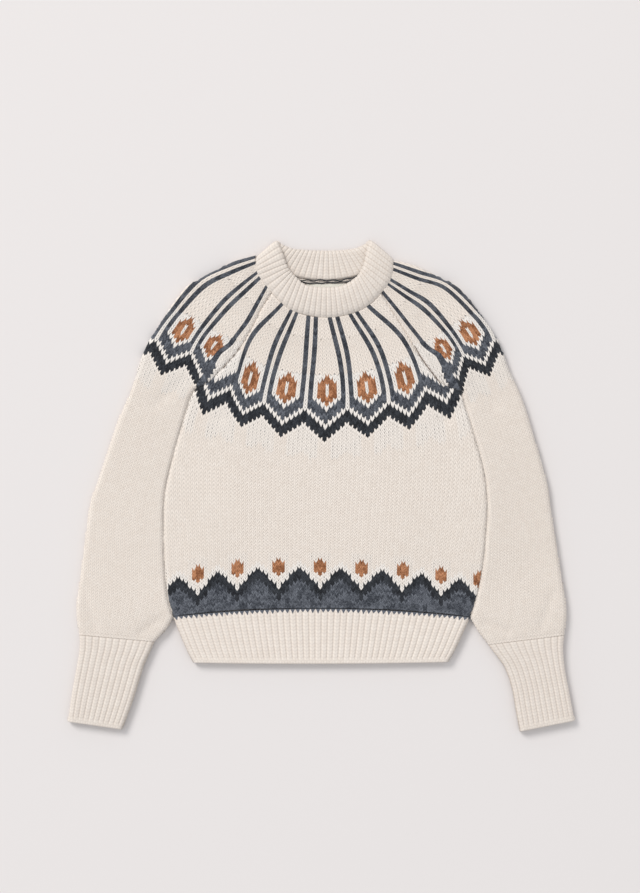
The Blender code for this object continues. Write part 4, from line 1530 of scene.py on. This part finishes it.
def rib_shade_and_teeth(stitches, colour, teeth_at):
    """Paints shade into the deep grooves between ribs, and can end the ribs in dark teeth at a row."""
    across, row = split(stitches, "ShaderNodeSeparateXYZ", "XY")
    away = abs(across.calc("FRACT") - 0.5)
    # painted shade, darker towards the middle of each groove and none on the cast-off rows
    groove = ((away - RIB_SHADE_FROM) / (0.5 - RIB_SHADE_FROM)).clamped() * RIB_SHADE_DEPTH
    groove = groove * (row - CAST_OFF_ROWS).clamped()
    colour = blend(groove, colour, RIB_SHADE_COLOUR, "MULTIPLY")
    if teeth_at:
        wave = abs((across * TEETH_PER_RIB).calc("FRACT") - 0.5)
        start = wave * (2 * TOOTH_ROWS) + (teeth_at - TOOTH_ROWS - TOOTH_UNDER)
        colour = blend(((row - start) * TOOTH_SHARP).clamped(), colour, TOOTH_COLOUR)
    return colour


def wool(name, colours, ribs=False, teeth_at=None):
    """A wool material. With more than one colour, the Yarn attribute chooses among them."""
    material, tree, shader = new_material(name)
    place = Wire(add_node(tree, "ShaderNodeTexCoord", {}).outputs["Object"])
    stitches = Wire(add_node(tree, "ShaderNodeUVMap", {}, uv_map="Stitches").outputs["UV"])
    leg, ply, gap, own = split(stitches, "ShaderNodeGroup", ("Leg", "Ply", "Gap", "Own"),
                               node_tree=PLIED_LEGS)
    mottle, fuzz = split(place, "ShaderNodeGroup", ("Mottle", "Fuzz"), node_tree=WOOL_FIBRES)
    hairs = mottle * MOTTLE_SHARE + fuzz * FUZZ_SHARE + own * OWN_SHARE - HAIR_SHIFT
    heather = (hairs - 0.5) * HEATHER_CONTRAST + HEATHER_MIDDLE
    yarns = [blend(heather if k else hairs, (*dark, 1), (*light, 1))
             for k, (dark, light) in enumerate(colours)]
    colour = yarns[0]
    if len(yarns) > 1:
        mask = add_node(tree, "ShaderNodeAttribute", {}, attribute_name="Yarn").outputs
        channels = split(Wire(mask["Color"]), "ShaderNodeSeparateColor", ("Red", "Green", "Blue"))
        for channel, yarn in zip(channels, yarns[1:]):
            colour = blend(channel, colour, yarn)
        strands_show = Wire(mask["Alpha"])
        # the cream is made lighter and cooler where the strands behind it show most
        colour = blend(strands_show ** LIGHTER_POWER * LIGHTER_SHARE, colour, LIGHTER_CREAM)
        some = (own * GAP_GAIN - GAP_SHIFT).clamped()
        colour = blend(strands_show * some * gap, colour, GAP_COLOUR)
    if ribs:
        colour = rib_shade_and_teeth(stitches, colour, teeth_at)
    # painted shade: the base colour is darker in the grooves between legs, less so on ribs
    darkest = RIB_LEG_SHADE if ribs else GROOVE_SHADE
    shade = leg * (1 - darkest) + darkest
    lit = add_node(tree, "ShaderNodeVectorMath", {0: colour, "Scale": shade}, operation="SCALE")
    feed(shader, {"Base Color": Wire(lit.outputs[0]), "Roughness": fuzz * ROUGH_FUZZ + ROUGH,
                  "Normal": bumpy(ply * 0.5 + fuzz, 0.6, 0.4), "Sheen Weight": 0.25,
                  "Sheen Roughness": 0.5, "Specular IOR Level": 0.2})
    print(name, "yarns:", len(colours))
    return material


patterned = wool("patterned wool", list(YARN_COLOURS.values()))
# copies of the cream with painted shade, for the cuffs and neckband and for the hem
rib_cream_shaded, hem_cream_shaded = (shaded_colours(YARN_COLOURS["cream"], share) for share in (RIB_SHADE_SHARE, HEM_SHADE_SHARE))
ribbed = wool("shaded cream rib wool", [rib_cream_shaded], ribs=True)
hem_ribbed = wool("shaded hem rib wool", [hem_cream_shaded], ribs=True, teeth_at=HEM_ROWS)
strand_wool = wool("navy strand wool", [YARN_COLOURS["navy"]])
seam_shade_wool = wool("painted seam shade wool", [SEAM_SHADE_COLOURS])

# %% [markdown]
# The label is a plain woven tape. Its warp and weft are two waves across each other, which give the
# thread's colour, shine and a very fine bump.

# %% The label's woven tape
TAPE_COLOURS = ((0.74, 0.70, 0.60, 1), (0.84, 0.81, 0.73, 1))
TAPE_THREAD = 0.45


def woven_tape():
    """The label's material."""
    material, tree, shader = new_material("woven tape")
    place = Wire(add_node(tree, "ShaderNodeTexCoord", {}).outputs["Object"])
    turns = math.pi / (TAPE_THREAD * MM)
    warp, weft = [(way * turns).calc("SINE") for way in split(place, "ShaderNodeSeparateXYZ", "XY")]
    weave = warp * weft * 0.5 + 0.5
    feed(shader, {"Base Color": blend(weave, *TAPE_COLOURS), "Roughness": 0.8 - weave * 0.2,
                  "Normal": bumpy(weave, 0.5, 0.15)})
    return material


tape = woven_tape()
print("tape thread:", TAPE_THREAD, "mm")

# %% [markdown]
# Each finished piece takes its material, stands for its solid, which is hidden, and rides on the
# garment's one body. The table also lists each piece's slot, the width and length of its knitted
# blank, the blank's true area where it isn't a rectangle, and what it rests on, but nothing here
# reads them.

# %% Materials and body for the pieces


def cover(piece, material):
    """Gives a piece its one material."""
    piece.data.materials.clear()
    piece.data.materials.append(material)


CLOTH = [
    # piece, solid, slot, material, blank's width and length and its area in metres, rests on
    (front, "front", "patterned_knit", patterned, (0.47, 0.51), 0.20, ["back"]),
    (back, "back", "patterned_knit", patterned, (0.47, 0.51), 0.21, []),
    (sleeves["left"], "sleeve_left", "patterned_knit", patterned, (0.30, 0.60), 0.13, []),
    (sleeves["right"], "sleeve_right", "patterned_knit", patterned, (0.30, 0.60), 0.13, []),
    (hems["front"], "hem_rib_front", "ribbed_knit", hem_ribbed, (0.43, 0.07), None, ["hem_rib_back"]),
    (hems["back"], "hem_rib_back", "ribbed_knit", hem_ribbed, (0.43, 0.07), None, []),
    (cuffs["left"], "cuff_left", "ribbed_knit", ribbed, (0.19, 0.13), None, []),
    (cuffs["right"], "cuff_right", "ribbed_knit", ribbed, (0.19, 0.13), None, []),
    (neckband, "neckband", "ribbed_knit", ribbed, (0.56, 0.047), None, ["front", "back"]),
    (woven_label, "neck_label", "label_tape", tape, (0.06, 0.015), None, ["back"]),
]
for piece, solid, slot, material, flat, area, under in CLOTH:
    cover(piece, material)
    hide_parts(solid)
    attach(piece, "root")
    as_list(under)
for strand in strands + seam_shade_tubes:
    cover(strand, strand_wool if strand in strands else seam_shade_wool)
    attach(strand, "root")
print("cloth pieces:", len(CLOTH))

# %% [markdown]
# The floor is a plain pale plane just under the cloth. The camera looks straight down from far away,
# as a camera on a stand over a table does, and its lens is worked out so that the frame covers the
# same cloth as the photograph. The light is a big soft panel up and to the left, with an even sky
# that keeps the shadows open.

# %% Floor, camera and light
FLOOR_COLOUR = (0.747, 0.709, 0.693)
FLOOR_SIZE = 60
FLOOR_DROP = 0.0003
CAMERA_HEIGHT = 3.2
SENSOR = 36
PANEL_PLACE = (-8.5, 9.5, 11.5)
PANEL_SIZE = 8.0
PANEL_POWER = 1720
PANEL_COLOUR = (1.0, 0.985, 0.965)
SKY_COLOUR = (0.95, 0.97, 1.0, 1)
SKY_STRENGTH = 0.76

bpy.ops.mesh.primitive_plane_add(size=FLOOR_SIZE, location=(0, 0, -FLOOR_DROP))
floor = bpy.context.view_layer.objects.active
floor.name = "floor"
paper, _, paper_shader = new_material("pale paper")
feed(paper_shader, {"Base Color": (*FLOOR_COLOUR, 1), "Roughness": 0.9})
cover(floor, paper)

centre = plan((FRAME_PIXELS[0] / 2, FRAME_PIXELS[1] / 2)) - PLAN_CENTRE[:2]
camera = bpy.data.objects.new("camera", bpy.data.cameras.new("camera"))
bpy.context.scene.collection.objects.link(camera)
camera.location = (*(centre * MM), CAMERA_HEIGHT)
camera.data.sensor_width = SENSOR
camera.data.lens = SENSOR * (CAMERA_HEIGHT - FLAT_HEIGHT * MM) / (FRAME_PIXELS[1] * PIXEL * MM)
camera.data.clip_end = 50
bpy.context.scene.camera = camera

light = bpy.data.lights.new("soft panel", "AREA")
light.shape = "DISK"
light.size = PANEL_SIZE
light.energy = PANEL_POWER
light.color = PANEL_COLOUR
panel = bpy.data.objects.new("soft panel", light)
bpy.context.scene.collection.objects.link(panel)
panel.location = PANEL_PLACE
x, y, z = PANEL_PLACE
# turned so that it faces the garment's own zero
panel.rotation_euler = (math.atan2(math.hypot(x, y), z), 0, math.atan2(-x, y) + math.pi)
world = bpy.data.worlds.new("even sky")
bpy.context.scene.world = world
world.use_nodes = True
feed(world.node_tree.nodes["Background"], {"Color": SKY_COLOUR, "Strength": SKY_STRENGTH})
bpy.context.scene.view_settings.view_transform = "Standard"
print("lens:", round(camera.data.lens, 1), "mm")

# %% [markdown]
# Last, the view layer is brought up to date.

# %% Finish
bpy.context.view_layer.update()
